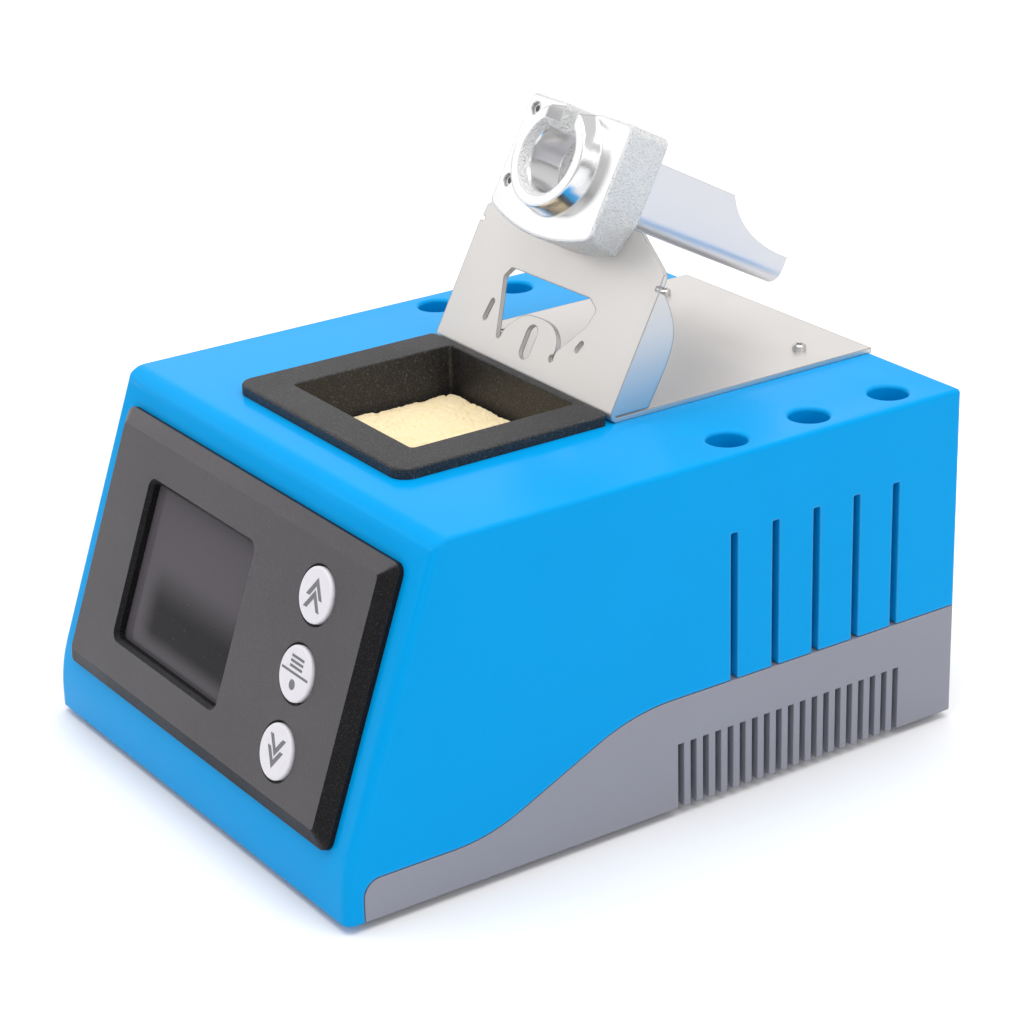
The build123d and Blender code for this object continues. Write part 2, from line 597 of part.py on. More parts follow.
# ================================================================ iron holder
with BuildPart() as holder_block:
    with BuildSketch(hold) as face_shape:
        with BuildLine():
            top_line = Polyline((-BLOCK_HALF_W, -BLOCK_DOWN), (-BLOCK_HALF_W, BLOCK_UP),
                                (BLOCK_HALF_W, BLOCK_UP), (BLOCK_HALF_W, -BLOCK_DOWN))
            ThreePointArc((BLOCK_HALF_W, -BLOCK_DOWN), (0, -17.6), (-BLOCK_HALF_W, -BLOCK_DOWN))
        make_face()
        fillet(face_shape.vertices(), 2.2)
    extrude(amount=-BLOCK_T)
    fillet(holder_block.edges().filter_by(lambda e: abs(hold.to_local_coords(e @ 0).Z) < 0.01
                                          and abs(hold.to_local_coords(e @ 1).Z) < 0.01), 0.7)
    # the lower side corners are cut back towards the stand
    for side in (-1, 1):
        front_pt = hold.from_local_coords((side * BLOCK_HALF_W, -12.8, 0))
        back_pt = hold.from_local_coords((side * BLOCK_HALF_W, -7.4, -BLOCK_T))
        low_pt = hold.from_local_coords((side * 16.9, -13.6, -BLOCK_T))
        facet = (Vector(back_pt) - Vector(front_pt)).cross(Vector(low_pt) - Vector(front_pt))
        if facet.dot(Vector(side, 0, 0)) < 0:
            facet = -facet
        split(bisect_by=Plane(origin=front_pt, z_dir=facet), keep=Keep.BOTTOM)
    # round boss with a drafted side
    with BuildSketch(hold.offset(-1)):
        Circle(BOSS_BASE_R)
    with BuildSketch(hold.offset(BOSS_H)):
        Circle(BOSS_R)
    loft()
    # bore: a drafted mouth, the smooth seat, and a relief behind it
    with BuildSketch(hold.offset(BOSS_H)):
        Circle(MOUTH_R)
    with BuildSketch(hold.offset(2.0)):
        Circle(BORE_R)
    loft(mode=Mode.SUBTRACT)
    with BuildSketch(hold.offset(2.0)):
        Circle(BORE_R)
    extrude(amount=-8.5, mode=Mode.SUBTRACT)
    with BuildSketch(hold.offset(-6.5)):
        Circle(BORE_R + 1.4)
    extrude(amount=-BLOCK_T, mode=Mode.SUBTRACT)
    ring = holder_block.edges().filter_by(GeomType.CIRCLE).filter_by(
        lambda e: abs(hold.to_local_coords(e.center()).Z - BOSS_H) < 0.01)
    fillet(ring, 0.45)
    # slot through the top, for the lead of the iron
    with BuildSketch(hold.offset(BOSS_H + 1)):
        with Locations((0, 10)):
            Rectangle(2 * SLOT_HALF_W, 20)
    extrude(amount=-BOSS_H - BLOCK_T - 2, mode=Mode.SUBTRACT)
    # rounded lips at its top
    for side in (-1, 1):
        with BuildSketch(hold):
            with BuildLine():
                ThreePointArc((side * SLOT_HALF_W, BLOCK_UP - 2.0),
                              (side * (SLOT_HALF_W + 0.586), BLOCK_UP - 0.586),
                              (side * (SLOT_HALF_W + 2.0), BLOCK_UP))
                Polyline((side * (SLOT_HALF_W + 2.0), BLOCK_UP), (side * (SLOT_HALF_W + 2.0), BLOCK_UP + 2),
                         (side * (SLOT_HALF_W - 1), BLOCK_UP + 2), (side * (SLOT_HALF_W - 1), BLOCK_UP - 2),
                         (side * SLOT_HALF_W, BLOCK_UP - 2))
            make_face()
        extrude(amount=-BLOCK_T - 1, mode=Mode.SUBTRACT)
    with BuildSketch(hold):
        with Locations((-15.5, 9.0), (-15.5, -8.0)):
            Circle(1.5)
    extrude(amount=-8, mode=Mode.SUBTRACT)
    # tapped holes for the screws through the stand and through the trough
    with BuildSketch(hold.offset(-BLOCK_T)):
        with Locations((-9, -13.0), (9, -13.0), (-13.5, -3.0), (13.5, -3.0)):
            Circle(1.3)
    extrude(amount=7, mode=Mode.SUBTRACT)

with BuildPart() as iron_trough:
    with BuildSketch(hold.offset(-BLOCK_T)) as tub:
        with Locations((0, (TROUGH_LOW + TROUGH_HIGH) / 2)):
            Rectangle(2 * TROUGH_HALF_W, TROUGH_HIGH - TROUGH_LOW)
        fillet(tub.vertices().group_by(Axis.Y)[0], 3.5)
    extrude(amount=-(TROUGH_END - BLOCK_T))
    with BuildSketch(hold.offset(-BLOCK_T - 2.0)) as hollow:
        with Locations((0, (TROUGH_LOW + TROUGH_WALL + TROUGH_HIGH + 2) / 2)):
            Rectangle(2 * (TROUGH_HALF_W - TROUGH_WALL), TROUGH_HIGH + 2 - TROUGH_LOW - TROUGH_WALL)
        fillet(hollow.vertices().group_by(Axis.Y)[0], 2.0)
    extrude(amount=-TROUGH_END, mode=Mode.SUBTRACT)
    # way through the end wall, open at the top
    with BuildSketch(hold.offset(-BLOCK_T + 1)):
        Circle(BORE_R + 1.4)
        with Locations((0, 10)):
            Rectangle(2 * SLOT_HALF_W, 20)
        with Locations((-13.5, -3.0), (13.5, -3.0)):
            Circle(1.6)
    extrude(amount=-3.5, mode=Mode.SUBTRACT)
    # both side walls sweep down to the open end
    with BuildSketch(Plane(origin=hold.origin, x_dir=-hold.z_dir, z_dir=(1, 0, 0))):
        with BuildLine():
            Polyline((60, -1.0), (60, 12), (34.0, 12), (34.0, TROUGH_HIGH))
            Spline((34.0, TROUGH_HIGH), (37.4, 3.4), (43.0, 0.4), (49.2, -1.0), (60, -1.0))
        make_face()
    extrude(amount=30, both=True, mode=Mode.SUBTRACT)

trough_screw = screw(1.2, 7.5, 2.3, 1.5)
with BuildPart() as trough_screws:
    for x in (-13.5, 13.5):
        with Locations(Plane(origin=hold.from_local_coords((x, -3.0, -BLOCK_T - 2.0)), x_dir=(1, 0, 0),
                             z_dir=-hold.z_dir)):
            add(trough_screw)

with BuildPart() as holder_screws:
    for x in (-9, 9):
        with Locations(Plane(origin=hold.from_local_coords((x, -13.0, -BLOCK_T - SHEET)), x_dir=(1, 0, 0),
                             z_dir=-hold.z_dir)):
            add(trough_screw)

with BuildPart() as grub_screws:
    with BuildSketch(hold.offset(-7.2)):
        with Locations((-15.5, 9.0), (-15.5, -8.0)):
            Circle(1.45)
    extrude(amount=6.6)
    with BuildSketch(hold.offset(-0.6)):
        with Locations((-15.5, 9.0), (-15.5, -8.0)):
            RegularPolygon(0.8, 6)
    extrude(amount=-1.5, mode=Mode.SUBTRACT)

# ================================================================ rear panel and its sockets
PANEL_HALF_W = 54.2
with BuildPart() as rear_panel:
    with BuildSketch(rear(0, 0)):
        with Locations((0, 40)):
            Rectangle(2 * PANEL_HALF_W, 59)
        with Locations((-INLET_X, INLET_Z)):
            Rectangle(30.4, 29.4, mode=Mode.SUBTRACT)
        with Locations((-SWITCH_X, SWITCH_Z)):
            Rectangle(13.2, 19.2, mode=Mode.SUBTRACT)
        with Locations((-SOCKET_X, SOCKET_Z)):
            Circle(6.1, mode=Mode.SUBTRACT)
        with Locations((-GROUND_X, GROUND_Z)):
            Circle(3.1, mode=Mode.SUBTRACT)
        with Locations((0, 60)):
            with GridLocations(6.2, 1, 12, 1):
                SlotOverall(8.0, 2.2, rotation=90, mode=Mode.SUBTRACT)
        with Locations(*panel_screw_spots):
            Circle(1.25, mode=Mode.SUBTRACT)
        with Locations((-INLET_X - 20, INLET_Z), (-INLET_X + 20, INLET_Z)):
            Circle(1.6, mode=Mode.SUBTRACT)
    extrude(amount=-PANEL_T)

rear_screw = screw(1.2, 6.0, 2.5, 1.6)
with BuildPart() as rear_panel_screws:
    for x, z in panel_screw_spots:
        with Locations(rear(x, z, WALL)):
            add(rear_screw)

FLANGE_T = 3.0
DRAWER_Z = INLET_Z - 10.2
with BuildPart() as mains_inlet:
    with BuildSketch(rear(INLET_X, INLET_Z)):
        RectangleRounded(50, 31, 4)
    extrude(amount=FLANGE_T)
    fillet(mains_inlet.edges().group_by(Axis.Y)[-1], 0.6)
    with BuildSketch(rear(INLET_X, INLET_Z)):
        Rectangle(30, 29)
    extrude(amount=-22)
    with BuildSketch(rear(INLET_X, INLET_Z + 4.6, FLANGE_T)) as throat:
        Rectangle(24.5, 16.5)
        chamfer(throat.vertices().group_by(Axis.Y)[-1], 4)
        fillet(throat.vertices().group_by(Axis.Y)[0], 1)
    extrude(amount=-17, mode=Mode.SUBTRACT)
    with BuildSketch(rear(INLET_X, DRAWER_Z, FLANGE_T)):
        Rectangle(25.2, 6.4)
    extrude(amount=-20.5, mode=Mode.SUBTRACT)
    with BuildSketch(rear(INLET_X, INLET_Z, FLANGE_T)):
        with Locations((-20, 0), (20, 0)):
            Circle(1.6)
    extrude(amount=-FLANGE_T, mode=Mode.SUBTRACT)

pin_spots = [(-7.0, 3.0), (7.0, 3.0), (0.0, 7.0)]
with BuildPart() as inlet_pins:
    with BuildSketch(rear(INLET_X, INLET_Z, FLANGE_T - 17)):
        with Locations(*pin_spots):
            Rectangle(2, 4)
    extrude(amount=14)
    with BuildSketch(rear(INLET_X, INLET_Z, -22)):
        with Locations(*pin_spots):
            Rectangle(4.8, 0.8)
    extrude(amount=-7)

with BuildPart() as inlet_screws:
    for x in (INLET_X - 20, INLET_X + 20):
        with Locations(rear(x, INLET_Z, FLANGE_T)):
            add(rear_screw)

with BuildPart() as fuse_drawer:
    with BuildSketch(rear(INLET_X, DRAWER_Z, FLANGE_T - 19)):
        Rectangle(24.8, 6.0)
    extrude(amount=19)
    with BuildSketch(rear(INLET_X, DRAWER_Z, FLANGE_T)):
        RectangleRounded(26.4, 7.0, 0.8)
    extrude(amount=1.2)
    fillet(fuse_drawer.edges().group_by(Axis.Y)[-1], 0.4)
    with BuildSketch(rear(INLET_X, DRAWER_Z + 0.9, FLANGE_T + 1.2)):
        Rectangle(8, 1.6)
    extrude(amount=-0.7, mode=Mode.SUBTRACT)
    with BuildSketch(Plane.XY.offset(FOOT + DRAWER_Z - 2.5)):
        with Locations((INLET_X, BACK - WALL - 7.0)):
            Rectangle(20.8, 5.6)
    extrude(amount=6, mode=Mode.SUBTRACT)

with BuildPart() as fuse:
    with BuildSketch(Plane(origin=(INLET_X - 10, BACK - WALL - 7.0, FOOT + DRAWER_Z + 0.1), z_dir=(1, 0, 0))):
        Circle(2.5)
    extrude(amount=20)

with BuildPart() as switch_frame:
    with BuildSketch(rear(SWITCH_X, SWITCH_Z)):
        RectangleRounded(15, 21, 1)
    extrude(amount=2)
    fillet(switch_frame.edges().group_by(Axis.Y)[-1], 0.5)
    with BuildSketch(rear(SWITCH_X, SWITCH_Z)):
        Rectangle(13, 19)
    extrude(amount=-13)
    with BuildSketch(rear(SWITCH_X, SWITCH_Z, 2)):
        Rectangle(10.8, 17.2)
    extrude(amount=-11, mode=Mode.SUBTRACT)
    with BuildSketch(rear(SWITCH_X, SWITCH_Z, -13)):
        with Locations((0, -5), (0, 0), (0, 5)):
            Rectangle(4.8, 0.8)
    extrude(amount=-7)

ROCK = 8.0                  # the rocker rests at this tilt, switched off
rock = radians(ROCK)
with BuildPart() as power_rocker:
    with BuildSketch(Plane(origin=(SWITCH_X, BACK - WALL - 1.5, FOOT + SWITCH_Z), z_dir=(1, 0, 0),
                           x_dir=(0, cos(rock), sin(rock)))):
        with BuildLine():
            Polyline((3.2, 7.7), (-1.0, 7.7), (-5.5, 0), (-1.0, -7.7), (3.2, -7.7))
            ThreePointArc((3.2, -7.7), (4.3, 0), (3.2, 7.7))
        make_face()
    extrude(amount=5.2, both=True)
    fillet(power_rocker.edges().filter_by(GeomType.CIRCLE), 0.5)

with BuildPart() as handle_socket:
    with BuildSketch(rear(SOCKET_X, SOCKET_Z, -9)):
        Circle(6.0)
    extrude(amount=9 + WALL + TAIL)
    with BuildSketch(rear(SOCKET_X, SOCKET_Z)):
        Circle(8.5)
    extrude(amount=1.5)
    with BuildSketch(rear(SOCKET_X, SOCKET_Z, WALL + TAIL)):
        Circle(4.8)
        with Locations((0, 4.8)):
            Rectangle(1.6, 1.2)
    extrude(amount=-9, mode=Mode.SUBTRACT)
    fillet(handle_socket.edges().group_by(Axis.Y)[-1].filter_by(
        lambda e: e.geom_type == GeomType.CIRCLE and e.radius > 5.5), 0.5)

with BuildPart() as handle_socket_nut:
    with BuildSketch(rear(SOCKET_X, SOCKET_Z, -PANEL_T)):
        RegularPolygon(8.2, 6)
        Circle(6.05, mode=Mode.SUBTRACT)
    extrude(amount=-2.5)

with BuildPart() as handle_socket_pins:
    with BuildSketch(rear(SOCKET_X, SOCKET_Z, WALL + TAIL - 9)):
        Circle(0.55)
        with PolarLocations(2.7, 4, 45):
            Circle(0.55)
    extrude(amount=4.5)

with BuildPart() as ground_jack:
    with BuildSketch(rear(GROUND_X, GROUND_Z)):
        Circle(5.2)
    extrude(amount=4.0)
    fillet(ground_jack.edges().group_by(Axis.Y)[-1], 0.7)
    with BuildSketch(rear(GROUND_X, GROUND_Z)):
        Circle(3.0)
    extrude(amount=-12)
    with BuildSketch(rear(GROUND_X, GROUND_Z, 4)):
        Circle(2.05)
    extrude(amount=-14, mode=Mode.SUBTRACT)

with BuildPart() as ground_jack_nut:
    with BuildSketch(rear(GROUND_X, GROUND_Z, -PANEL_T)):
        RegularPolygon(4.6, 6)
        Circle(3.05, mode=Mode.SUBTRACT)
    extrude(amount=-2.0)

# ================================================================ power board
BOARD_TOP = FLOOR + STANDOFF_H + BOARD_T
with BuildPart() as power_board:
    with BuildSketch(Plane.XY.offset(FLOOR + STANDOFF_H)):
        with Locations((0, MID + 8)):
            Rectangle(92, 82)
        with Locations(*standoff_spots):
            Circle(1.6, mode=Mode.SUBTRACT)
    extrude(amount=BOARD_T)

with BuildPart() as power_board_screws:
    for x, y in standoff_spots:
        with Locations((x, y, BOARD_TOP)):
            add(board_screw)

with BuildPart() as transformer:
    with BuildSketch(Plane.XY.offset(BOARD_TOP)):
        with Locations((2, MID + 8)):
            RectangleRounded(26, 22, 3)
    extrude(amount=22)
    with BuildSketch(Plane.XY.offset(BOARD_TOP + 5)):
        with Locations((2, MID + 8)):
            Rectangle(33, 12)
    extrude(amount=14)

with BuildPart() as capacitors:
    for x, y, radius, tall in ((-28, 30, 9, 30), (-30, 8, 5, 20), (-30, -6, 5, 20), (37.5, -14, 6, 24)):
        with BuildSketch(Plane.XY.offset(BOARD_TOP)):
            with Locations((x, MID + y)):
                Circle(radius)
        extrude(amount=tall)
    fillet(capacitors.edges().filter_by(GeomType.CIRCLE), 0.8)

with BuildPart() as heat_sinks:
    for x in (-14.0, 24.0):
        with BuildSketch(Plane.XY.offset(BOARD_TOP)):
            with Locations((x, MID - 20)):
                Rectangle(3, 22)
            for fin in range(5):
                with Locations((x + 3.0, MID - 30 + 5 * fin)):
                    Rectangle(6, 1.2)
        extrude(amount=26)

with BuildPart() as power_transistors:
    for x in (-14.0, 24.0):
        with BuildSketch(Plane.XY.offset(BOARD_TOP + 5)):
            with Locations((x - 3.75, MID - 20)):
                Rectangle(4.5, 10)
        extrude(amount=16)

with BuildPart() as choke:
    with BuildSketch(Plane.XY.offset(BOARD_TOP)):
        with Locations((30, MID + 24)):
            Circle(8)
            Circle(3.5, mode=Mode.SUBTRACT)
    extrude(amount=9)
    fillet(choke.edges().filter_by(GeomType.CIRCLE), 1.5)

with BuildPart() as mains_terminal:
    with BuildSketch(Plane.XY.offset(BOARD_TOP)):
        with Locations((22, MID + 42)):
            Rectangle(20, 9)
    extrude(amount=11)

with BuildPart() as board_header:
    with BuildSketch(Plane.XY.offset(BOARD_TOP)):
        with Locations((10, MID - 29.5)):
            Rectangle(20, 5)
    extrude(amount=6)

with BuildPart() as buzzer:
    with BuildSketch(Plane.XY.offset(BOARD_TOP)):
        with Locations((-30, MID - 22)):
            Circle(6)
    extrude(amount=8.5)
    with BuildSketch(Plane.XY.offset(BOARD_TOP + 8.5)):
        with Locations((-30, MID - 22)):
            Circle(1)
    extrude(amount=-2, mode=Mode.SUBTRACT)

# leads that the housing holds all the way: each drops from an inlet tab to the terminal
with BuildPart() as mains_leads:
    for x, target in ((-7.0, 15.0), (7.0, 29.0)):
        start = (INLET_X + x, BACK - WALL - 29.0, FOOT + INLET_Z + 3.0)
        end = (target, MID + 42, BOARD_TOP + 11)
        with BuildLine() as route:
            FilletPolyline(start, (start[0], MID + 42, start[2]), end, radius=4)
        with BuildSketch(Plane(origin=start, z_dir=(0, -1, 0))):
            Circle(1.3)
        sweep(path=route.wires()[0])

pieces = {
    "upper_housing": upper_housing, "lower_housing": lower_housing, "rubber_feet": rubber_feet,
    "housing_screws": housing_screws, "front_bezel": front_bezel, "screen_lens": screen_lens,
    "display_module": display_module, "control_board": control_board,
    "tact_switches": tact_switches, "control_chips": control_chips, "ribbon_socket": ribbon_socket,
    "control_board_screws": control_board_screws, "sponge_tray": sponge_tray, "sponge": sponge,
    "stand": stand, "stand_screws": stand_screws, "stand_nuts": stand_nuts,
    "holder_block": holder_block, "iron_trough": iron_trough, "trough_screws": trough_screws,
    "holder_screws": holder_screws, "grub_screws": grub_screws, "rear_panel": rear_panel,
    "rear_panel_screws": rear_panel_screws, "mains_inlet": mains_inlet, "inlet_pins": inlet_pins,
    "inlet_screws": inlet_screws, "fuse_drawer": fuse_drawer, "fuse": fuse,
    "switch_frame": switch_frame, "power_rocker": power_rocker, "handle_socket": handle_socket,
    "handle_socket_nut": handle_socket_nut, "handle_socket_pins": handle_socket_pins,
    "ground_jack": ground_jack, "ground_jack_nut": ground_jack_nut, "power_board": power_board,
    "power_board_screws": power_board_screws, "transformer": transformer, "capacitors": capacitors,
    "heat_sinks": heat_sinks, "power_transistors": power_transistors, "choke": choke,
    "mains_terminal": mains_terminal, "board_header": board_header, "buzzer": buzzer,
    "mains_leads": mains_leads, **buttons,
}
for name, made in pieces.items():
    made.part.label = name
    export_step(made.part, f"parts/{name}.step")
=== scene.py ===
"""Looks of a bench soldering station.

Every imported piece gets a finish. The sponge and the signs on the three buttons are modelled here, and a
pale floor, soft lights, a sky and the camera stand round the station.
"""

import json
import logging
import math
from collections.abc import Callable, Iterable
from dataclasses import dataclass, field
from enum import Enum

import bmesh
import bpy
import numpy as np
from mathutils import Matrix, Vector


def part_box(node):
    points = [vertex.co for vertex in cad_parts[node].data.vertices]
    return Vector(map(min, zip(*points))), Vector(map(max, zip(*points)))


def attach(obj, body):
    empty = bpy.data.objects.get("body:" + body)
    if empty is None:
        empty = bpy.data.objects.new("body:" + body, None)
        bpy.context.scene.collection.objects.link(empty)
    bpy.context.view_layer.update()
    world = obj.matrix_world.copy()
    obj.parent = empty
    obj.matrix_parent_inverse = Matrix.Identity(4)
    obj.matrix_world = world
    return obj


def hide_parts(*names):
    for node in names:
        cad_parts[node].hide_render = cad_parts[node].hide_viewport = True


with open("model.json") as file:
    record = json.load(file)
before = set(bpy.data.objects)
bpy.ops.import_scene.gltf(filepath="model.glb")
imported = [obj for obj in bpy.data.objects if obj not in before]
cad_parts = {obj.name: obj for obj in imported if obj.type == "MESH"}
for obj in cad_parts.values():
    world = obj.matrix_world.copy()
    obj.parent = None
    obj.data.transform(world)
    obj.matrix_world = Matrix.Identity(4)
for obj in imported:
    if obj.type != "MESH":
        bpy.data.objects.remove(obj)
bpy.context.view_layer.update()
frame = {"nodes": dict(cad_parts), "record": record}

LOG = logging.getLogger("soldering_station")
MM = 0.001
Colour = tuple[float, float, float, float]
Triple = tuple[float, float, float]
Socket = bpy.types.NodeSocket


def scaled(colour: Colour, factor: float) -> Colour:
    """colour darkened or lightened by factor, held at white."""
    return (*(min(1.0, c * factor) for c in colour[:3]), 1.0)


def srgb(red: int, green: int, blue: int) -> Colour:
    """Linear colour of an 8-bit display colour.

    Args:
        red, green, blue: display values from 0 to 255.

    Returns:
        Linear red, green, blue and an alpha of 1.
    """
    channels = np.array([red, green, blue]) / 255
    linear = np.where(channels <= 0.04045, channels / 12.92, ((channels + 0.055) / 1.055) ** 2.4)
    return (*(float(v) for v in linear), 1.0)


# ---------------------------------------------------------------- node building
class Nodes:
    """A thin builder over one node tree, so that a finish reads as a list of steps."""

    def __init__(self, tree: bpy.types.NodeTree) -> None:
        """Keeps the tree that the nodes are made in."""
        self.tree = tree

    def add(self, kind: str, inputs: dict[str | int, object] | None = None,
            **settings: object) -> bpy.types.Node:
        """Makes a node.

        Args:
            kind: the node's bl_idname without its "ShaderNode" prefix.
            inputs: socket name or index to a value, or to an output socket to link from.
            settings: attributes of the node itself.

        Returns:
            The new node.
        """
        node = self.tree.nodes.new("ShaderNode" + kind)
        for name, value in settings.items():
            setattr(node, name, value)
        for key, value in (inputs or {}).items():
            if isinstance(value, Socket):
                self.tree.links.new(value, node.inputs[key])
            else:
                node.inputs[key].default_value = value
        return node

    def math(self, operation: str, first: object, second: object = 0.0, clamp: bool = False) -> Socket:
        """One Math node's output, for two values or sockets."""
        return self.add("Math", {0: first, 1: second}, operation=operation, use_clamp=clamp).outputs[0]

    def mix(self, factor: object, low: object, high: object) -> Socket:
        """A colour between low and high.

        Args:
            factor: 0 gives low and 1 gives high; a value or a socket.
            low, high: colours or sockets.

        Returns:
            The mixed colour's socket.
        """
        node = self.add("Mix", {"Factor": factor}, data_type="RGBA")
        for index, value in ((6, low), (7, high)):
            if isinstance(value, Socket):
                self.tree.links.new(value, node.inputs[index])
            else:
                node.inputs[index].default_value = value
        return node.outputs[2]

    def spread(self, value: object, low: float, high: float, to_low: float = 0.0,
               to_high: float = 1.0) -> Socket:
        """value carried linearly from low..high to to_low..to_high, and held at both ends."""
        return self.add("MapRange", {0: value, 1: low, 2: high, 3: to_low, 4: to_high}).outputs[0]

    def stretched(self, vector: Socket, scale: Triple) -> Socket:
        """vector multiplied by scale, along each axis."""
        return self.add("Mapping", {"Vector": vector, "Scale": scale}).outputs[0]

    def dot(self, first: object, second: object) -> Socket:
        """The dot product of two vectors or vector sockets."""
        return self.add("VectorMath", {0: first, 1: second}, operation="DOT_PRODUCT").outputs["Value"]

    def minus(self, first: object, second: object) -> Socket:
        """first less second, as vectors."""
        return self.add("VectorMath", {0: first, 1: second}, operation="SUBTRACT").outputs[0]

    def eased(self, value: object, low: float, high: float) -> Socket:
        """value carried from low..high to 0..1 with a soft start and end."""
        return self.add("MapRange", {0: value, 1: low, 2: high}, interpolation_type="SMOOTHSTEP").outputs[0]


def shader_group(name: str, inputs: dict[str, float | None], outputs: Iterable[str],
                 body: Callable[[Nodes, bpy.types.Node, bpy.types.Node], None]) -> bpy.types.NodeTree:
    """Makes a shared effect.

    Args:
        name: the group's name.
        inputs: socket name to its default; None makes a vector socket.
        outputs: socket names; a name ending in "Normal" is a vector.
        body: fills the tree, given its builder and the two end nodes.

    Returns:
        The node tree, to be placed with use_group.
    """
    tree = bpy.data.node_groups.new(name, "ShaderNodeTree")
    for socket, default in inputs.items():
        kind = "NodeSocketVector" if default is None else "NodeSocketFloat"
        made = tree.interface.new_socket(socket, in_out="INPUT", socket_type=kind)
        if default is not None:
            made.default_value = default
    for socket in outputs:
        kind = "NodeSocketVector" if socket.endswith("Normal") else "NodeSocketFloat"
        tree.interface.new_socket(socket, in_out="OUTPUT", socket_type=kind)
    start, end = tree.nodes.new("NodeGroupInput"), tree.nodes.new("NodeGroupOutput")
    body(Nodes(tree), start, end)
    return tree


def soft_edge_body(n: Nodes, start: bpy.types.Node, end: bpy.types.Node) -> None:
    """Rounds the normal near an edge, and marks the edge where the rounded normal leaves the true one."""
    rounded = n.add("Bevel", {"Radius": start.outputs["Radius"]}, samples=6).outputs[0]
    true = n.add("NewGeometry").outputs["Normal"]
    n.tree.links.new(rounded, end.inputs["Normal"])
    n.tree.links.new(n.spread(n.dot(rounded, true), 0.995, 0.8), end.inputs["Edge"])


def grain_body(n: Nodes, start: bpy.types.Node, end: bpy.types.Node) -> None:
    """Fine moulded grain: small cells broken up by noise, as spark-eroded tooling leaves it."""
    vector, scale = start.outputs["Vector"], start.outputs["Scale"]
    cells = n.add("TexVoronoi", {"Vector": vector, "Scale": scale}, feature="SMOOTH_F1").outputs["Distance"]
    noise = n.add("TexNoise", {"Vector": vector, "Scale": scale, "Detail": 3.0}).outputs[0]
    n.tree.links.new(n.math("ADD", n.math("MULTIPLY", cells, 0.6), n.math("MULTIPLY", noise, 0.7)),
                     end.inputs["Height"])


def handling_body(n: Nodes, start: bpy.types.Node, end: bpy.types.Node) -> None:
    """Slow cloudy variation and sparse specks, as handling and dust leave on a surface."""
    vector, scale = start.outputs["Vector"], start.outputs["Scale"]
    fine_scale = n.math("MULTIPLY", scale, 40.0)
    cloud = n.add("TexNoise", {"Vector": vector, "Scale": scale, "Detail": 4.0, "Roughness": 0.6}).outputs[0]
    fine = n.add("TexNoise", {"Vector": vector, "Scale": fine_scale, "Detail": 2.0}).outputs[0]
    n.tree.links.new(n.spread(cloud, 0.3, 0.7), end.inputs["Cloud"])
    n.tree.links.new(n.spread(fine, 0.68, 0.76), end.inputs["Speck"])


def brushing_body(n: Nodes, start: bpy.types.Node, end: bpy.types.Node) -> None:
    """Long fine strokes: noise on a vector already squeezed along the stroke."""
    vector = start.outputs["Vector"]
    coarse = n.add("TexNoise", {"Vector": vector, "Scale": 1.0, "Detail": 5.0, "Roughness": 0.7}).outputs[0]
    fine = n.add("TexNoise", {"Vector": vector, "Scale": 3.7, "Detail": 3.0}).outputs[0]
    n.tree.links.new(n.math("ADD", n.math("MULTIPLY", coarse, 0.6), n.math("MULTIPLY", fine, 0.4)),
                     end.inputs["Stroke"])


def casting_body(n: Nodes, start: bpy.types.Node, end: bpy.types.Node) -> None:
    """A rough cast skin: grains and finer noise as a height, with its crowns and its pits as masks."""
    vector, scale = start.outputs["Vector"], start.outputs["Scale"]
    grains = n.add("TexVoronoi", {"Vector": vector, "Scale": scale}, feature="F1").outputs["Distance"]
    small = n.add("TexNoise", {"Vector": vector, "Scale": n.math("MULTIPLY", scale, 2.4), "Detail": 3.0,
                               "Roughness": 0.7}).outputs[0]
    height = n.math("SUBTRACT", n.math("MULTIPLY", small, 1.1), n.math("MULTIPLY", grains, 0.7))
    n.tree.links.new(height, end.inputs["Height"])
    n.tree.links.new(n.spread(small, 0.44, 0.58), end.inputs["Sparkle"])
    n.tree.links.new(n.spread(small, 0.44, 0.38), end.inputs["Pit"])


GROUPS: dict[str, bpy.types.NodeTree] = {
    "soft_edge": shader_group("soft_edge", {"Radius": 0.0004}, ("Normal", "Edge"), soft_edge_body),
    "grain": shader_group("grain", {"Vector": None, "Scale": 4000.0}, ("Height",), grain_body),
    "handling": shader_group("handling", {"Vector": None, "Scale": 30.0}, ("Cloud", "Speck"), handling_body),
    "brushing": shader_group("brushing", {"Vector": None}, ("Stroke",), brushing_body),
    "casting": shader_group("casting", {"Vector": None, "Scale": 1500.0}, ("Height", "Sparkle", "Pit"),
                            casting_body),
}


# Moulded edges are carried toward this white as a painted highlight.
EDGE_HIGHLIGHT_WHITE = 0.9
GRAIN_DEPTH, STROKE_DEPTH, CAST_DEPTH = 0.12 * MM, 0.05 * MM, 0.3 * MM
BARE_SPECULAR = 0.12
FLECK_GREY: Colour = (0.5, 0.5, 0.51, 1.0)
DUST: Colour = srgb(120, 120, 122)


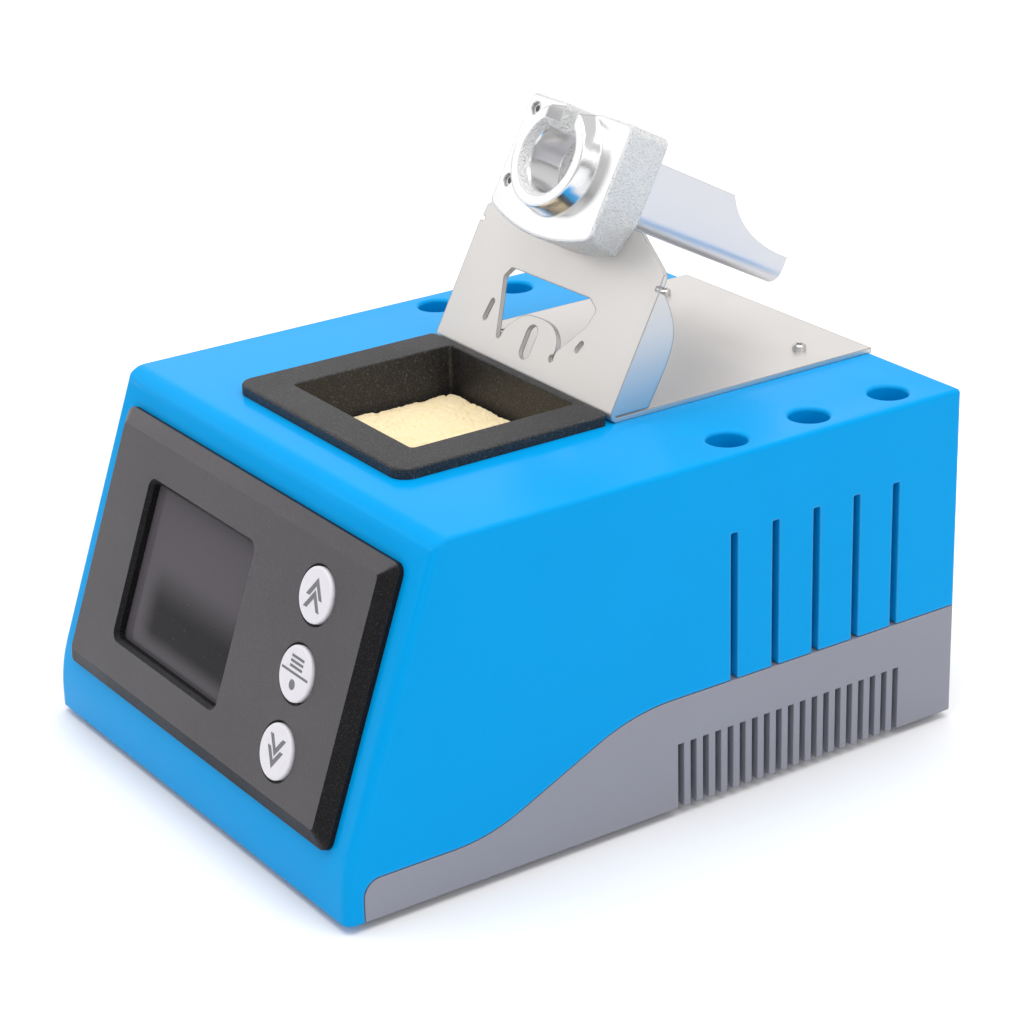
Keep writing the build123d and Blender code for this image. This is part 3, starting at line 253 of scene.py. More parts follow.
class Finish:
    """A finish: builds its material once, and hands the same one out afterwards."""

    made: dict["Finish", bpy.types.Material] = {}

    def material(self) -> bpy.types.Material:
        """The finish's material, built on first use."""
        if self not in Finish.made:
            built = bpy.data.materials.new(self.title)
            built.use_nodes = True
            built.node_tree.nodes.clear()
            n = Nodes(built.node_tree)
            surface = self.surface(n)
            n.add("OutputMaterial", {"Surface": surface.outputs[0]})
            Finish.made[self] = built
        return Finish.made[self]

    def surface(self, n: Nodes) -> bpy.types.Node:
        """Builds the finish's nodes and returns its Principled BSDF."""
        raise NotImplementedError

    @staticmethod
    def effect(n: Nodes, name: str, inputs: dict[str, object]) -> bpy.types.Node:
        """Places a shared effect with its own values.

        Args:
            n: the material's builder.
            name: a key of GROUPS.
            inputs: values or sockets for the group's inputs.

        Returns:
            The group node.
        """
        node = n.tree.nodes.new("ShaderNodeGroup")
        node.node_tree = GROUPS[name]
        for key, value in inputs.items():
            if isinstance(value, Socket):
                n.tree.links.new(value, node.inputs[key])
            else:
                node.inputs[key].default_value = value
        return node


@dataclass(frozen=True)
class Moulded(Finish):
    """Injection-moulded plastic or rubber: one colour, fine grain, a painted highlight along the edges."""

    title: str
    colour: Colour
    roughness: float = 0.35
    grain: float = 0.15
    grain_scale: float = 3500.0
    specular: float = 0.5
    coat: float = 0.0
    edge_radius: float = 0.0004
    # strength of the painted highlight along the edges
    painted_edge_highlight: float = 0.12
    mottle: float = 0.04
    fleck: float = 0.0
    # lighter tone: print on the face, painted light on the upper and left bevels
    overlay_and_lit_bevel_tone: Colour | None = None
    film_axis: Triple = (0.0, -1.0, 0.0)

    def overlay_and_lit_bevel_mask(self, n: Nodes) -> Socket:
        """Mask of the lighter tone: the printed overlay on the face, and painted light on the upper and left
        bevels, which face the lamps; the others stay bare.
        """
        true = n.add("NewGeometry").outputs["True Normal"]
        sides = n.add("SeparateXYZ", {0: true})
        rightward, downward = n.spread(sides.outputs[0], 0.15, 0.3), n.spread(sides.outputs[2], 0.05, -0.1)
        bare = n.math("MAXIMUM", rightward, downward)
        facing = n.spread(n.dot(true, self.film_axis), 0.7, 0.78)
        return n.math("MULTIPLY", facing, n.math("SUBTRACT", 1.0, bare))

    def surface(self, n: Nodes) -> bpy.types.Node:
        """Colour varies slowly and gets a painted highlight at edges; roughness follows handling; grain feeds
        the bump.
        """
        place = n.add("TexCoord").outputs["Object"]
        edge = self.effect(n, "soft_edge", {"Radius": self.edge_radius})
        touch = self.effect(n, "handling", {"Vector": place, "Scale": 35.0})
        grain = self.effect(n, "grain", {"Vector": place, "Scale": self.grain_scale})
        deep = scaled(self.colour, 1 - self.mottle)
        # painted highlight: the colour carried toward white near edges
        pale = (*(c + (EDGE_HIGHLIGHT_WHITE - c) * self.painted_edge_highlight for c in self.colour[:3]), 1.0)
        tone = n.mix(touch.outputs["Cloud"], deep, self.colour)
        tone = n.mix(n.math("MULTIPLY", edge.outputs["Edge"], 0.5), tone, pale)
        specular = self.specular
        # the lighter tone: the face's print, and painted light on the upper and left bevels
        if self.overlay_and_lit_bevel_tone:
            overlay_and_lit_bevels = self.overlay_and_lit_bevel_mask(n)
            tone = n.mix(overlay_and_lit_bevels, tone, self.overlay_and_lit_bevel_tone)
            specular = n.spread(overlay_and_lit_bevels, 0.0, 1.0, BARE_SPECULAR, self.specular)
        if self.fleck:
            crown = n.spread(grain.outputs["Height"], 0.62, 0.95)
            tone = n.mix(n.math("MULTIPLY", crown, self.fleck), tone, FLECK_GREY)
        glossy, matt = self.roughness * 0.88, min(1.0, self.roughness * 1.14)
        rough = n.spread(touch.outputs["Cloud"], 0.0, 1.0, glossy, matt)
        bump = n.add("Bump", {"Strength": self.grain, "Distance": GRAIN_DEPTH,
                              "Height": grain.outputs["Height"], "Normal": edge.outputs["Normal"]})
        return n.add("BsdfPrincipled", {"Base Color": tone, "Roughness": rough, "Normal": bump.outputs[0],
                                        "Specular IOR Level": specular, "Coat Weight": self.coat,
                                        "Coat Roughness": 0.08})


@dataclass(frozen=True)
class Brushed(Finish):
    """Sheet or turned metal with fine strokes in one direction."""

    title: str
    colour: Colour
    roughness: float = 0.3
    strokes: Triple = (90.0, 9000.0, 9000.0)
    depth: float = 0.12
    edge_radius: float = 0.00025
    edge_shade: float = 0.0
    metal: float = 1.0

    def surface(self, n: Nodes) -> bpy.types.Node:
        """Strokes drive both the bump and the roughness; handling clouds the tone a little."""
        place = n.add("TexCoord").outputs["Object"]
        edge = self.effect(n, "soft_edge", {"Radius": self.edge_radius})
        touch = self.effect(n, "handling", {"Vector": place, "Scale": 28.0})
        stroke = self.effect(n, "brushing", {"Vector": n.stretched(place, self.strokes)})
        tone = n.mix(touch.outputs["Cloud"], scaled(self.colour, 0.93), self.colour)
        shaded = n.math("MULTIPLY", edge.outputs["Edge"], self.edge_shade)
        tone = n.mix(shaded, tone, scaled(self.colour, 0.3))
        wave = n.math("ADD", n.math("MULTIPLY", stroke.outputs["Stroke"], 0.5),
                      n.math("MULTIPLY", touch.outputs["Cloud"], 0.25))
        rough = n.spread(wave, 0.15, 0.65, self.roughness * 0.75, self.roughness * 1.3)
        bump = n.add("Bump", {"Strength": self.depth, "Distance": STROKE_DEPTH,
                              "Height": stroke.outputs["Stroke"], "Normal": edge.outputs["Normal"]})
        return n.add("BsdfPrincipled", {"Base Color": tone, "Metallic": self.metal, "Roughness": rough,
                                        "Normal": bump.outputs[0]})


@dataclass(frozen=True)
class CastAlloy(Finish):
    """Die-cast alloy: milled satin faces square to the bore, a polished boss, rough sides elsewhere."""

    title: str
    colour: Colour
    centre: Triple
    axis: Triple
    boss_radius: float = 13.4 * MM
    relief_radius: float = 9.2 * MM
    bore_radius: float = 8.0 * MM
    grain_scale: float = 1700.0

    def machined(self, n: Nodes, place: Socket, normal: Socket) -> Socket:
        """Mask of the machined skin: faces square to the bore, the boss round it and the bore itself."""
        offset = n.minus(place, self.centre)
        ahead = n.dot(offset, self.axis)
        radius = n.math("SQRT", n.math("SUBTRACT", n.dot(offset, offset), n.math("MULTIPLY", ahead, ahead)))
        milled = n.spread(n.dot(normal, self.axis), 0.9, 0.96)
        in_front = n.spread(ahead, -0.6 * MM, 0.4 * MM)
        near = n.spread(radius, self.boss_radius + 0.4 * MM, self.boss_radius)
        outside = n.spread(radius, self.relief_radius, self.relief_radius + 0.2 * MM)
        boss = n.math("MULTIPLY", n.math("MULTIPLY", in_front, near), outside)
        inside = n.spread(radius, self.bore_radius + 0.3 * MM, self.bore_radius)
        return n.math("MAXIMUM", n.math("MAXIMUM", milled, boss), inside)

    def surface(self, n: Nodes) -> bpy.types.Node:
        """Machined skin is smooth and wholly metallic; cast skin is pitted, scatters light, and has painted
        glints on its crowns and painted shade in its pits.
        """
        coordinates = n.add("TexCoord")
        place = coordinates.outputs["Object"]
        smooth = self.machined(n, place, coordinates.outputs["Normal"])
        edge = self.effect(n, "soft_edge", {"Radius": 0.0006})
        cast = self.effect(n, "casting", {"Vector": place, "Scale": self.grain_scale})
        touch = self.effect(n, "handling", {"Vector": place, "Scale": 60.0})
        skin = n.math("SUBTRACT", 1.0, smooth, clamp=True)
        rough = n.add("Mix", {"Factor": smooth}, data_type="FLOAT")
        cast_rough = n.spread(cast.outputs["Sparkle"], 0.0, 1.0, 0.40, 0.22)
        smooth_rough = n.spread(touch.outputs["Cloud"], 0.0, 1.0, 0.14, 0.24)
        n.tree.links.new(cast_rough, rough.inputs[2])
        n.tree.links.new(smooth_rough, rough.inputs[3])
        # painted glints lighten the grain's crowns, and painted shade darkens its pits
        crowns = n.math("MULTIPLY", cast.outputs["Sparkle"], skin)
        pits = n.math("MULTIPLY", cast.outputs["Pit"], skin)
        tone = n.mix(crowns, self.colour, scaled(self.colour, 1.3))
        tone = n.mix(pits, tone, scaled(self.colour, 0.2))
        share = n.math("ADD", n.math("MULTIPLY", skin, 0.96), 0.02)
        height = n.math("MULTIPLY", cast.outputs["Height"], share)
        bump = n.add("Bump", {"Strength": 1.0, "Distance": CAST_DEPTH, "Height": height,
                              "Normal": edge.outputs["Normal"]})
        metal = n.spread(skin, 0.0, 1.0, 1.0, 0.4)
        return n.add("BsdfPrincipled", {"Base Color": tone, "Metallic": metal, "Roughness": rough.outputs[0],
                                        "Normal": bump.outputs[0]})


@dataclass(frozen=True)
class Foam(Finish):
    """Cellulose sponge: open pores, pale crowns, and painted shade in the hollows."""

    title: str
    colour: Colour
    shade: Colour

    def surface(self, n: Nodes) -> bpy.types.Node:
        """Pores of two sizes dent the surface and darken the colour with painted shade."""
        place = n.add("TexCoord").outputs["Object"]
        pores = n.add("TexVoronoi", {"Vector": place, "Scale": 900.0},
                      feature="SMOOTH_F1").outputs["Distance"]
        pin = n.add("TexVoronoi", {"Vector": place, "Scale": 2600.0}, feature="F1").outputs["Distance"]
        cloud = n.add("TexNoise", {"Vector": place, "Scale": 180.0, "Detail": 6.0,
                                   "Roughness": 0.65}).outputs[0]
        height = n.math("ADD", n.math("MULTIPLY", pores, 0.7), n.math("MULTIPLY", pin, 0.35))
        height = n.math("ADD", height, n.math("MULTIPLY", cloud, 0.6))
        # painted shade: the hollows take the shade colour
        tone = n.mix(n.spread(height, 0.45, 0.95), self.shade, self.colour)
        bump = n.add("Bump", {"Strength": 0.5, "Distance": 0.0004, "Height": height})
        return n.add("BsdfPrincipled", {"Base Color": tone, "Roughness": 0.95, "Normal": bump.outputs[0],
                                        "Specular IOR Level": 0.15, "Sheen Weight": 0.25})


@dataclass(frozen=True)
class Window(Finish):
    """A smoked display window: glossy, with a painted reflection, lighter above, with a soft dark band across
    its lower half.
    """

    title: str
    colour: Colour
    # the dark tone of the painted reflection band
    band: Colour
    centre: Triple
    up: Triple
    # where the painted reflection band fades in and out, up the window and across it
    band_top: tuple[float, float] = (3.5 * MM, -7.5 * MM)
    band_foot: tuple[float, float] = (-17.0 * MM, -12.5 * MM)
    band_left: tuple[float, float] = (-19.0 * MM, -11.0 * MM)

    def surface(self, n: Nodes) -> bpy.types.Node:
        """Height up the window and distance across it shape the painted reflection's dark band; a few faint
        specks lie on top.
        """
        place = n.add("TexCoord").outputs["Object"]
        touch = self.effect(n, "handling", {"Vector": place, "Scale": 40.0})
        offset = n.minus(place, self.centre)
        rise = n.dot(offset, self.up)
        across = n.add("SeparateXYZ", {0: offset}).outputs[0]
        # painted reflection: a soft dark band across the lower half
        shade = n.math("MULTIPLY", n.eased(rise, *self.band_top), n.eased(rise, *self.band_foot))
        shade = n.math("MULTIPLY", shade, n.eased(across, *self.band_left))
        rough = n.spread(touch.outputs["Cloud"], 0.0, 1.0, 0.04, 0.08)
        tone = n.mix(n.math("MULTIPLY", shade, 0.9), self.colour, self.band)
        tone = n.mix(n.math("MULTIPLY", touch.outputs["Speck"], 0.3), tone, DUST)
        return n.add("BsdfPrincipled", {"Base Color": tone, "Roughness": rough, "Specular IOR Level": 0.08})


@dataclass(frozen=True)
class Clear(Finish):
    """Plain clear glass."""

    title: str

    def surface(self, n: Nodes) -> bpy.types.Node:
        """A thin clear tube, slightly uneven."""
        place = n.add("TexCoord").outputs["Object"]
        touch = self.effect(n, "handling", {"Vector": place, "Scale": 60.0})
        rough = n.spread(touch.outputs["Cloud"], 0.0, 1.0, 0.03, 0.08)
        return n.add("BsdfPrincipled", {"Base Color": (0.9, 0.95, 0.95, 1), "Roughness": rough,
                                        "Transmission Weight": 0.8, "IOR": 1.45})


# ---------------------------------------------------------------- finishes
HOLDER_TILT = math.radians(28.1)
HOLDER_AXIS = (0.0, -math.cos(HOLDER_TILT), math.sin(HOLDER_TILT))
BORE_CENTRE = next(Vector(m["pos_m"]) for m in frame["record"]["mounts"] if m["name"] == "iron_bore")
BORE_FRONT = 2.25 * MM          # the bore's middle is this far behind the holder's face
FACE_CENTRE = BORE_CENTRE + Vector(HOLDER_AXIS) * BORE_FRONT
SLOPE = math.radians(19.7)
PANEL_NORMAL = Vector((0.0, -math.cos(SLOPE), math.sin(SLOPE)))
PANEL_UP = Vector((0.0, math.sin(SLOPE), math.cos(SLOPE)))

# The edge settings of each moulding below set its painted edge highlight.
BLUE = Moulded("blue_abs", (0.0, 0.325, 0.74, 1), 0.2, 0.03, 1400.0, specular=0.06, edge_radius=0.0007,
               painted_edge_highlight=0.16, mottle=0.03)
GREY = Moulded("grey_abs", srgb(142, 143, 154), 0.55, 0.35, 3600.0, specular=0.3, edge_radius=0.0003,
               painted_edge_highlight=0.10)
# The bezel's lighter tone is its face's print, and painted light on its upper and left bevels.
BEZEL = Moulded("bezel_abs", srgb(20, 19, 21), 0.4, 0.7, 4200.0, specular=0.6, edge_radius=0.0003,
                painted_edge_highlight=0.05, fleck=0.06, overlay_and_lit_bevel_tone=srgb(56, 52, 56), film_axis=tuple(PANEL_NORMAL))
BLACK = Moulded("black_moulding", srgb(26, 26, 28), 0.4, 0.3, painted_edge_highlight=0.05)
TRAY = Moulded("tray_black", srgb(26, 25, 26), 0.5, 1.0, 3000.0, edge_radius=0.0004, painted_edge_highlight=0.05,
               fleck=0.16)
RUBBER = Moulded("foot_rubber", srgb(24, 24, 25), 0.75, 0.4, 2500.0, specular=0.25)
SILVER = Moulded("silver_button", srgb(222, 220, 225), 0.26, 0.2, 6000.0, edge_radius=0.0003, painted_edge_highlight=0.2)
PRINT = Moulded("button_print", srgb(112, 112, 116), 0.5, 0.1)
STAINLESS = Brushed("stainless_sheet", (0.73, 0.705, 0.68, 1), 0.42, (5200.0, 5200.0, 240.0), depth=0.5,
                    edge_radius=0.00055, edge_shade=0.9, metal=0.8)
TROUGH = Brushed("trough_alloy", (0.74, 0.74, 0.765, 1), 0.45, (4000.0, 900.0, 4000.0), depth=0.3)
STEEL = Brushed("plated_steel", (0.66, 0.65, 0.64, 1), 0.24, (4000.0, 4000.0, 4000.0), depth=0.08)
NICKEL = Brushed("nickel", (0.80, 0.78, 0.75, 1), 0.13, (3000.0, 3000.0, 3000.0), depth=0.04)
CAN = Brushed("can_aluminium", (0.72, 0.73, 0.75, 1), 0.35, (3000.0, 3000.0, 200.0), depth=0.06)
BRASS = Brushed("brass_pins", (0.80, 0.60, 0.25, 1), 0.22, (3000.0, 200.0, 3000.0), depth=0.05)
CAST = CastAlloy("cast_alloy", (0.79, 0.79, 0.79, 1), tuple(FACE_CENTRE), HOLDER_AXIS)
# The sponge's second colour is the painted shade of its hollows.
SPONGE = Foam("sponge_cellulose", srgb(248, 228, 188), srgb(246, 224, 172))
WINDOW_LOW, WINDOW_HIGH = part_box("screen_lens")
# The window's lighter tone and its dark band are a painted reflection on the smoked glass.
SCREEN = Window("screen_window", srgb(84, 80, 85), srgb(16, 15, 17),
                tuple((Vector(WINDOW_LOW) + Vector(WINDOW_HIGH)) / 2), tuple(PANEL_UP))
FUSE_GLASS = Clear("fuse_glass")
PLAIN = {
    "rear_sheet": Moulded("rear_paint", srgb(30, 30, 33), 0.45, 0.6, 2200.0, edge_radius=0.0002),
    "red_rocker": Moulded("red_rocker", srgb(196, 30, 24), 0.2, 0.05, coat=0.3),
    "jack_green": Moulded("jack_green", srgb(30, 132, 62), 0.25, 0.05),
    "board_green": Moulded("board_green", srgb(22, 92, 48), 0.35, 0.25, 900.0, mottle=0.25),
    "component_black": Moulded("component_black", srgb(30, 30, 31), 0.5, 0.3),
    "transformer_tape": Moulded("transformer_tape", srgb(214, 178, 60), 0.4, 0.2),
    "copper_coil": Brushed("copper_coil", (0.62, 0.26, 0.12, 1), 0.3, (900.0, 900.0, 2600.0), depth=0.5),
    "connector_green": Moulded("connector_green", srgb(60, 150, 84), 0.4, 0.1),
    "lead_insulation": Moulded("lead_insulation", srgb(110, 60, 34), 0.45, 0.2),
    "display": Moulded("display", srgb(40, 44, 44), 0.3, 0.05),
}
SLOT_FINISH: dict[str, Finish] = {
    "blue_shell": BLUE, "grey_shell": GREY, "dark_bezel": BEZEL, "screen_window": SCREEN,
    "silver_button": SILVER, "tray_black": TRAY, "sponge_yellow": SPONGE, "stainless": STAINLESS,
    "cast_alloy": CAST, "trough_alloy": TROUGH, "screw_steel": STEEL, "nickel": NICKEL,
    "foot_rubber": RUBBER, "black_moulding": BLACK, "brass_pins": BRASS, "fuse_glass": FUSE_GLASS,
    "can_aluminium": CAN, **PLAIN,
}


# ---------------------------------------------------------------- meshes
WELD_DISTANCE = 1e-7
WAVE_PEAK = 1.8          # the highest a sum of many waves comes, in units of its mean size


def grid_mesh(name: str, points: np.ndarray, wrap: bool, finish: Finish) -> bpy.types.Object:
    """An object from a grid of points, one quad per cell.

    Args:
        name: the piece's name.
        points: rows by columns by 3; a row whose points coincide becomes a closed pole.
        wrap: whether the last column joins the first.
        finish: the piece's finish.

    Returns:
        The new object, smooth shaded, at the origin.
    """
    rows, columns, _ = points.shape
    index = np.arange(rows * columns).reshape(rows, columns)
    after = np.roll(index, -1, axis=1) if wrap else index[:, 1:]
    here = index if wrap else index[:, :-1]
    faces = np.stack([here[:-1], after[:-1], after[1:], here[1:]], axis=-1).reshape(-1, 4)
    made = new_piece(name, points.reshape(-1, 3), faces.tolist(), finish)
    made.data.polygons.foreach_set("use_smooth", np.ones(len(made.data.polygons), bool))
    return made


def new_piece(name: str, points: np.ndarray, faces: list[list[int]], finish: Finish) -> bpy.types.Object:
    """Puts a closed mesh into the scene, with coinciding points merged and every face turned outwards.

    Args:
        name: the piece's name.
        points: n by 3 points, in metres.
        faces: the point numbers of each face.
        finish: the piece's finish.

    Returns:
        The new object, flat shaded, at the origin.
    """
    mesh = bpy.data.meshes.new(name)
    mesh.from_pydata(points.tolist(), [], faces)
    made = bpy.data.objects.new(name, mesh)
    bpy.context.scene.collection.objects.link(made)
    shape = bmesh.new()
    shape.from_mesh(mesh)
    bmesh.ops.remove_doubles(shape, verts=shape.verts, dist=WELD_DISTANCE)
    bmesh.ops.recalc_face_normals(shape, faces=shape.faces)
    shape.to_mesh(mesh)
    shape.free()
    mesh.materials.append(finish.material())
    return made


def plate_mesh(name: str, outlines: list[np.ndarray], place: Callable[[np.ndarray], np.ndarray],
               depth: float, finish: Finish) -> bpy.types.Object:
    """Flat shapes with a thickness: each outline is a cap, its sides join it to a copy depth below.

    Args:
        name: the piece's name.
        outlines: convex or simple polygons, each n by 2.
        place: carries n by 3 local points (across, up, out) to the shared frame.
        depth: thickness.
        finish: the piece's finish.

    Returns:
        The new object.
    """
    points, faces, first = [], [], 0
    for outline in outlines:
        count = len(outline)
        ring = np.arange(count)
        points.append(place(np.column_stack([outline, np.zeros(count)])))
        points.append(place(np.column_stack([outline, np.full(count, -depth)])))
        faces.append((first + ring).tolist())
        faces.append((first + count + ring[::-1]).tolist())
        after = np.roll(ring, -1)
        faces += (np.column_stack([ring, ring + count, after + count, after]) + first).tolist()
        first += 2 * count
    return new_piece(name, np.concatenate(points), faces, finish)


def waves(x: np.ndarray, y: np.ndarray, size: float, seed: int, count: int = 28) -> np.ndarray:
    """Smooth noise from -1 to 1: the mean of sine waves of random direction, phase and near-equal length.

    Args:
        x, y: coordinates, in metres.
        size: the mean wavelength, in metres.
        seed: picks the waves.
        count: how many waves are added up.

    Returns:
        An array of the same shape.
    """
    rng = np.random.default_rng(seed)
    angle, phase = rng.uniform(0, 2 * np.pi, (2, count))
    pitch = 2 * np.pi / (size * rng.uniform(0.6, 1.7, count))
    across = x[..., None] * np.cos(angle) + y[..., None] * np.sin(angle)
    return np.sin(across * pitch + phase).sum(-1) / math.sqrt(count / 2) / WAVE_PEAK


@dataclass
class SpongePad:
    """The sponge in the tray: a rounded slab with a creased, pitted top."""

    node: str = "sponge"
    corner: float = 4.0 * MM
    rim: float = 1.7 * MM
    wrinkle: float = 0.55 * MM
    pits: int = 150
    around: int = 360
    rings: int = 78

    def outline(self, half_x: float, half_y: float) -> np.ndarray:
        """A rounded rectangle walked at even angles.

        Formula: each corner's quarter circle takes a share of the steps in proportion to its length, and
        each straight side takes the rest.

        Args:
            half_x, half_y: half the width and half the depth.

        Returns:
            around by 2 points, starting on the right side.
        """
        flat_x, flat_y = 2 * (half_x - self.corner), 2 * (half_y - self.corner)
        arc = self.corner * np.pi / 2
        total = 2 * flat_x + 2 * flat_y + 4 * arc
        walk = np.arange(self.around) / self.around * total
        points = np.zeros((self.around, 2))
        start = 0.0
        runs = ((0, flat_y), (1, flat_x), (2, flat_y), (3, flat_x))
        for quarter, flat in runs:
            turn = np.array([[math.cos(quarter * math.pi / 2), -math.sin(quarter * math.pi / 2)],
                             [math.sin(quarter * math.pi / 2), math.cos(quarter * math.pi / 2)]])
            reach, side = (half_x, half_y) if quarter % 2 == 0 else (half_y, half_x)
            on_flat = (walk >= start) & (walk < start + flat)
            local = np.column_stack([np.full(on_flat.sum(), reach), walk[on_flat] - start - flat / 2])
            points[on_flat] = local @ turn.T
            start += flat
            on_arc = (walk >= start) & (walk < start + arc)
            angle = (walk[on_arc] - start) / self.corner
            local = np.column_stack([reach - self.corner + self.corner * np.cos(angle),
                                     side - self.corner + self.corner * np.sin(angle)])
            points[on_arc] = local @ turn.T
            start += arc
        return points

    def profile(self, height: float) -> tuple[np.ndarray, np.ndarray, np.ndarray]:
        """The section from the middle of the top, over the rim, down the side and under to the middle.

        Returns:
            For each ring: its share of the outline, its inset from the outline and its height.
        """
        top = np.linspace(0.0, 1.0, self.rings) ** 0.8
        bend = np.linspace(0, np.pi / 2, 9)[1:]
        side = np.linspace(self.rim, height - self.rim, 9)[1:]
        share = np.concatenate([top, np.ones(8 + 8 + 8), np.linspace(1, 0, 12)[1:]])
        inset = np.concatenate([np.full(self.rings, self.rim), self.rim * (1 - np.sin(bend)), np.zeros(8),
                                self.rim * (1 - np.cos(bend)), np.full(11, self.rim)])
        level = np.concatenate([np.full(self.rings, height), height - self.rim * (1 - np.cos(bend)),
                                height - side, self.rim * (1 - np.sin(bend)), np.zeros(11)])
        return share, inset, level

    def build(self) -> bpy.types.Object:
        """Formula: a point is the tray's middle plus its ring's share of the inset outline; the top sinks along
        creases, which are the thin valleys where a smooth noise crosses zero, and in small round pits.

        Returns:
            The pad.
        """
        low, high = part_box(self.node)
        middle, half = (low + high) / 2, (high - low) / 2
        share, inset, level = self.profile(high.z - low.z)
        ring = self.outline(half.x, half.y)
        length = np.linalg.norm(ring, axis=1, keepdims=True)
        pulled = ring[None] * (1 - inset[:, None, None] / length[None])
        flat = pulled * share[:, None, None]
        x, y = flat[..., 0], flat[..., 1]
        z = np.broadcast_to(level[:, None], x.shape).copy()
        upper = np.clip((z / z.max() - 0.35) / 0.6, 0, 1)
        crease = np.exp(-(waves(x, y, 11 * MM, 4) / 0.10) ** 2) * 0.75
        crease += np.exp(-(waves(x, y, 6 * MM, 9) / 0.09) ** 2) * 0.5
        swell = waves(x, y, 16 * MM, 12) * 0.5 - 0.5
        fine = waves(x, y, 1.6 * MM, 21) * 0.16 + waves(x, y, 0.8 * MM, 22) * 0.08
        rng = np.random.default_rng(33)
        pits = rng.uniform(-1, 1, (self.pits, 2)) * [half.x, half.y]
        sizes = rng.uniform(0.25, 0.8, self.pits) * MM
        apart = (x[..., None] - pits[:, 0]) ** 2 + (y[..., None] - pits[:, 1]) ** 2
        pitted = np.exp(-apart / sizes ** 2).max(-1) * 0.8
        z += upper * self.wrinkle * (swell - crease - pitted + fine - 0.1)
        side = 1 - 0.006 * (1 + waves(x + z, y - z, 7 * MM, 40)) * (share[:, None] > 0.98)
        points = np.stack([middle.x + x * side, middle.y + y * side, low.z + z], axis=-1)
        pad = grid_mesh("sponge_pad", points, True, SPONGE)
        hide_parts(self.node)
        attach(pad, "sponge_pad")
        return pad


class Sign(Enum):
    """What a button's cap says."""

    UP = "up"
    LIST = "list"
    DOWN = "down"


@dataclass
class ButtonSign:
    """The dark filling of the sign engraved in a button's cap."""

    sign: Sign
    body: str
    depth: float = 0.2 * MM
    sunk: float = 0.05 * MM
    face_depth: float = 0.6 * MM

    def outlines(self) -> list[np.ndarray]:
        """The sign's polygons, in millimetres from the cap's centre, across and up."""
        if self.sign is Sign.LIST:
            bars = [(5.1, 0.275, 0.0, 0.0)] + [(2.4, 0.3, 0.0, 1.2 + 1.05 * row) for row in range(3)]
            boxes = [np.array([(-w, -h), (w, -h), (w, h), (-w, h)]) + (x, y) for w, h, x, y in bars]
            angle = np.linspace(0, 2 * np.pi, 33)[:-1]
            return boxes + [np.column_stack([np.cos(angle), np.sin(angle)]) * 1.1 + (0, -2.4)]
        way = 1 if self.sign is Sign.UP else -1
        shapes = []
        for lift in (0.0, 2.6):
            half = np.array([(0, 0.2), (1.75, -2.2), (3.1, -2.2), (0, 2.1)])
            for mirror in (1, -1):
                wing = half * (mirror, 1) + (0, lift - 1.0)
                shapes.append(wing * (1, way))
        return shapes

    def build(self) -> bpy.types.Object:
        """Makes the filling, set just below the cap's face."""
        low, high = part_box(self.body)
        axes = np.array([(1.0, 0.0, 0.0), PANEL_UP, PANEL_NORMAL])
        cap = np.array([v.co for v in frame["nodes"][self.body].data.vertices])
        out = cap @ axes[2]
        rise = cap[out.max() - out < self.face_depth] @ axes[1]
        centre = np.array([(low.x + high.x) / 2, (rise.max() + rise.min()) / 2, out.max() - self.sunk])

        def place(local: np.ndarray) -> np.ndarray:
            """Local across and up in millimetres, and out in metres, carried onto the cap."""
            return (centre + local * [MM, MM, 1]) @ axes

        filling = plate_mesh(f"{self.body}_sign", self.outlines(), place, self.depth, PRINT)
        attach(filling, self.body)
        return filling


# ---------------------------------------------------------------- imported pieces
SHARP_ANGLE = math.radians(28)
JOIN_DISTANCE = 2e-6


def rounded_shading() -> bpy.types.NodeTree:
    """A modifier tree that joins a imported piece's loose triangles and smooths all but its sharp edges."""
    tree = bpy.data.node_groups.new("rounded_shading", "GeometryNodeTree")
    tree.interface.new_socket("Geometry", in_out="INPUT", socket_type="NodeSocketGeometry")
    tree.interface.new_socket("Geometry", in_out="OUTPUT", socket_type="NodeSocketGeometry")
    start, end = tree.nodes.new("NodeGroupInput"), tree.nodes.new("NodeGroupOutput")
    join = tree.nodes.new("GeometryNodeMergeByDistance")
    join.inputs["Distance"].default_value = JOIN_DISTANCE
    smooth = tree.nodes.new("GeometryNodeSetShadeSmooth")
    sharp = tree.nodes.new("GeometryNodeSetShadeSmooth")
    sharp.domain = "EDGE"
    sharp.inputs["Shade Smooth"].default_value = False
    angle = tree.nodes.new("GeometryNodeInputMeshEdgeAngle")
    over = tree.nodes.new("FunctionNodeCompare")
    over.inputs[1].default_value = SHARP_ANGLE
    tree.links.new(angle.outputs[0], over.inputs[0])
    tree.links.new(start.outputs[0], join.inputs["Geometry"])
    tree.links.new(join.outputs[0], smooth.inputs["Geometry"])
    tree.links.new(smooth.outputs[0], sharp.inputs["Geometry"])
    tree.links.new(over.outputs[0], sharp.inputs["Selection"])
    tree.links.new(sharp.outputs[0], end.inputs[0])
    return tree


@dataclass
class PackedPieces:
    """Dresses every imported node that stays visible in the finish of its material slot."""

    shading: bpy.types.NodeTree = field(default_factory=rounded_shading)

    def dress(self) -> int:
        """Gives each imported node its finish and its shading, and returns how many there are."""
        slots = {part["node"]: part["material_slot"] for part in frame["record"]["subparts"]}
        for name, node in frame["nodes"].items():
            node.data.materials.clear()
            node.data.materials.append(SLOT_FINISH[slots[name]].material())
            node.modifiers.new("shading", "NODES").node_group = self.shading
            LOG.info("%s: %s", name, slots[name])
        return len(slots)


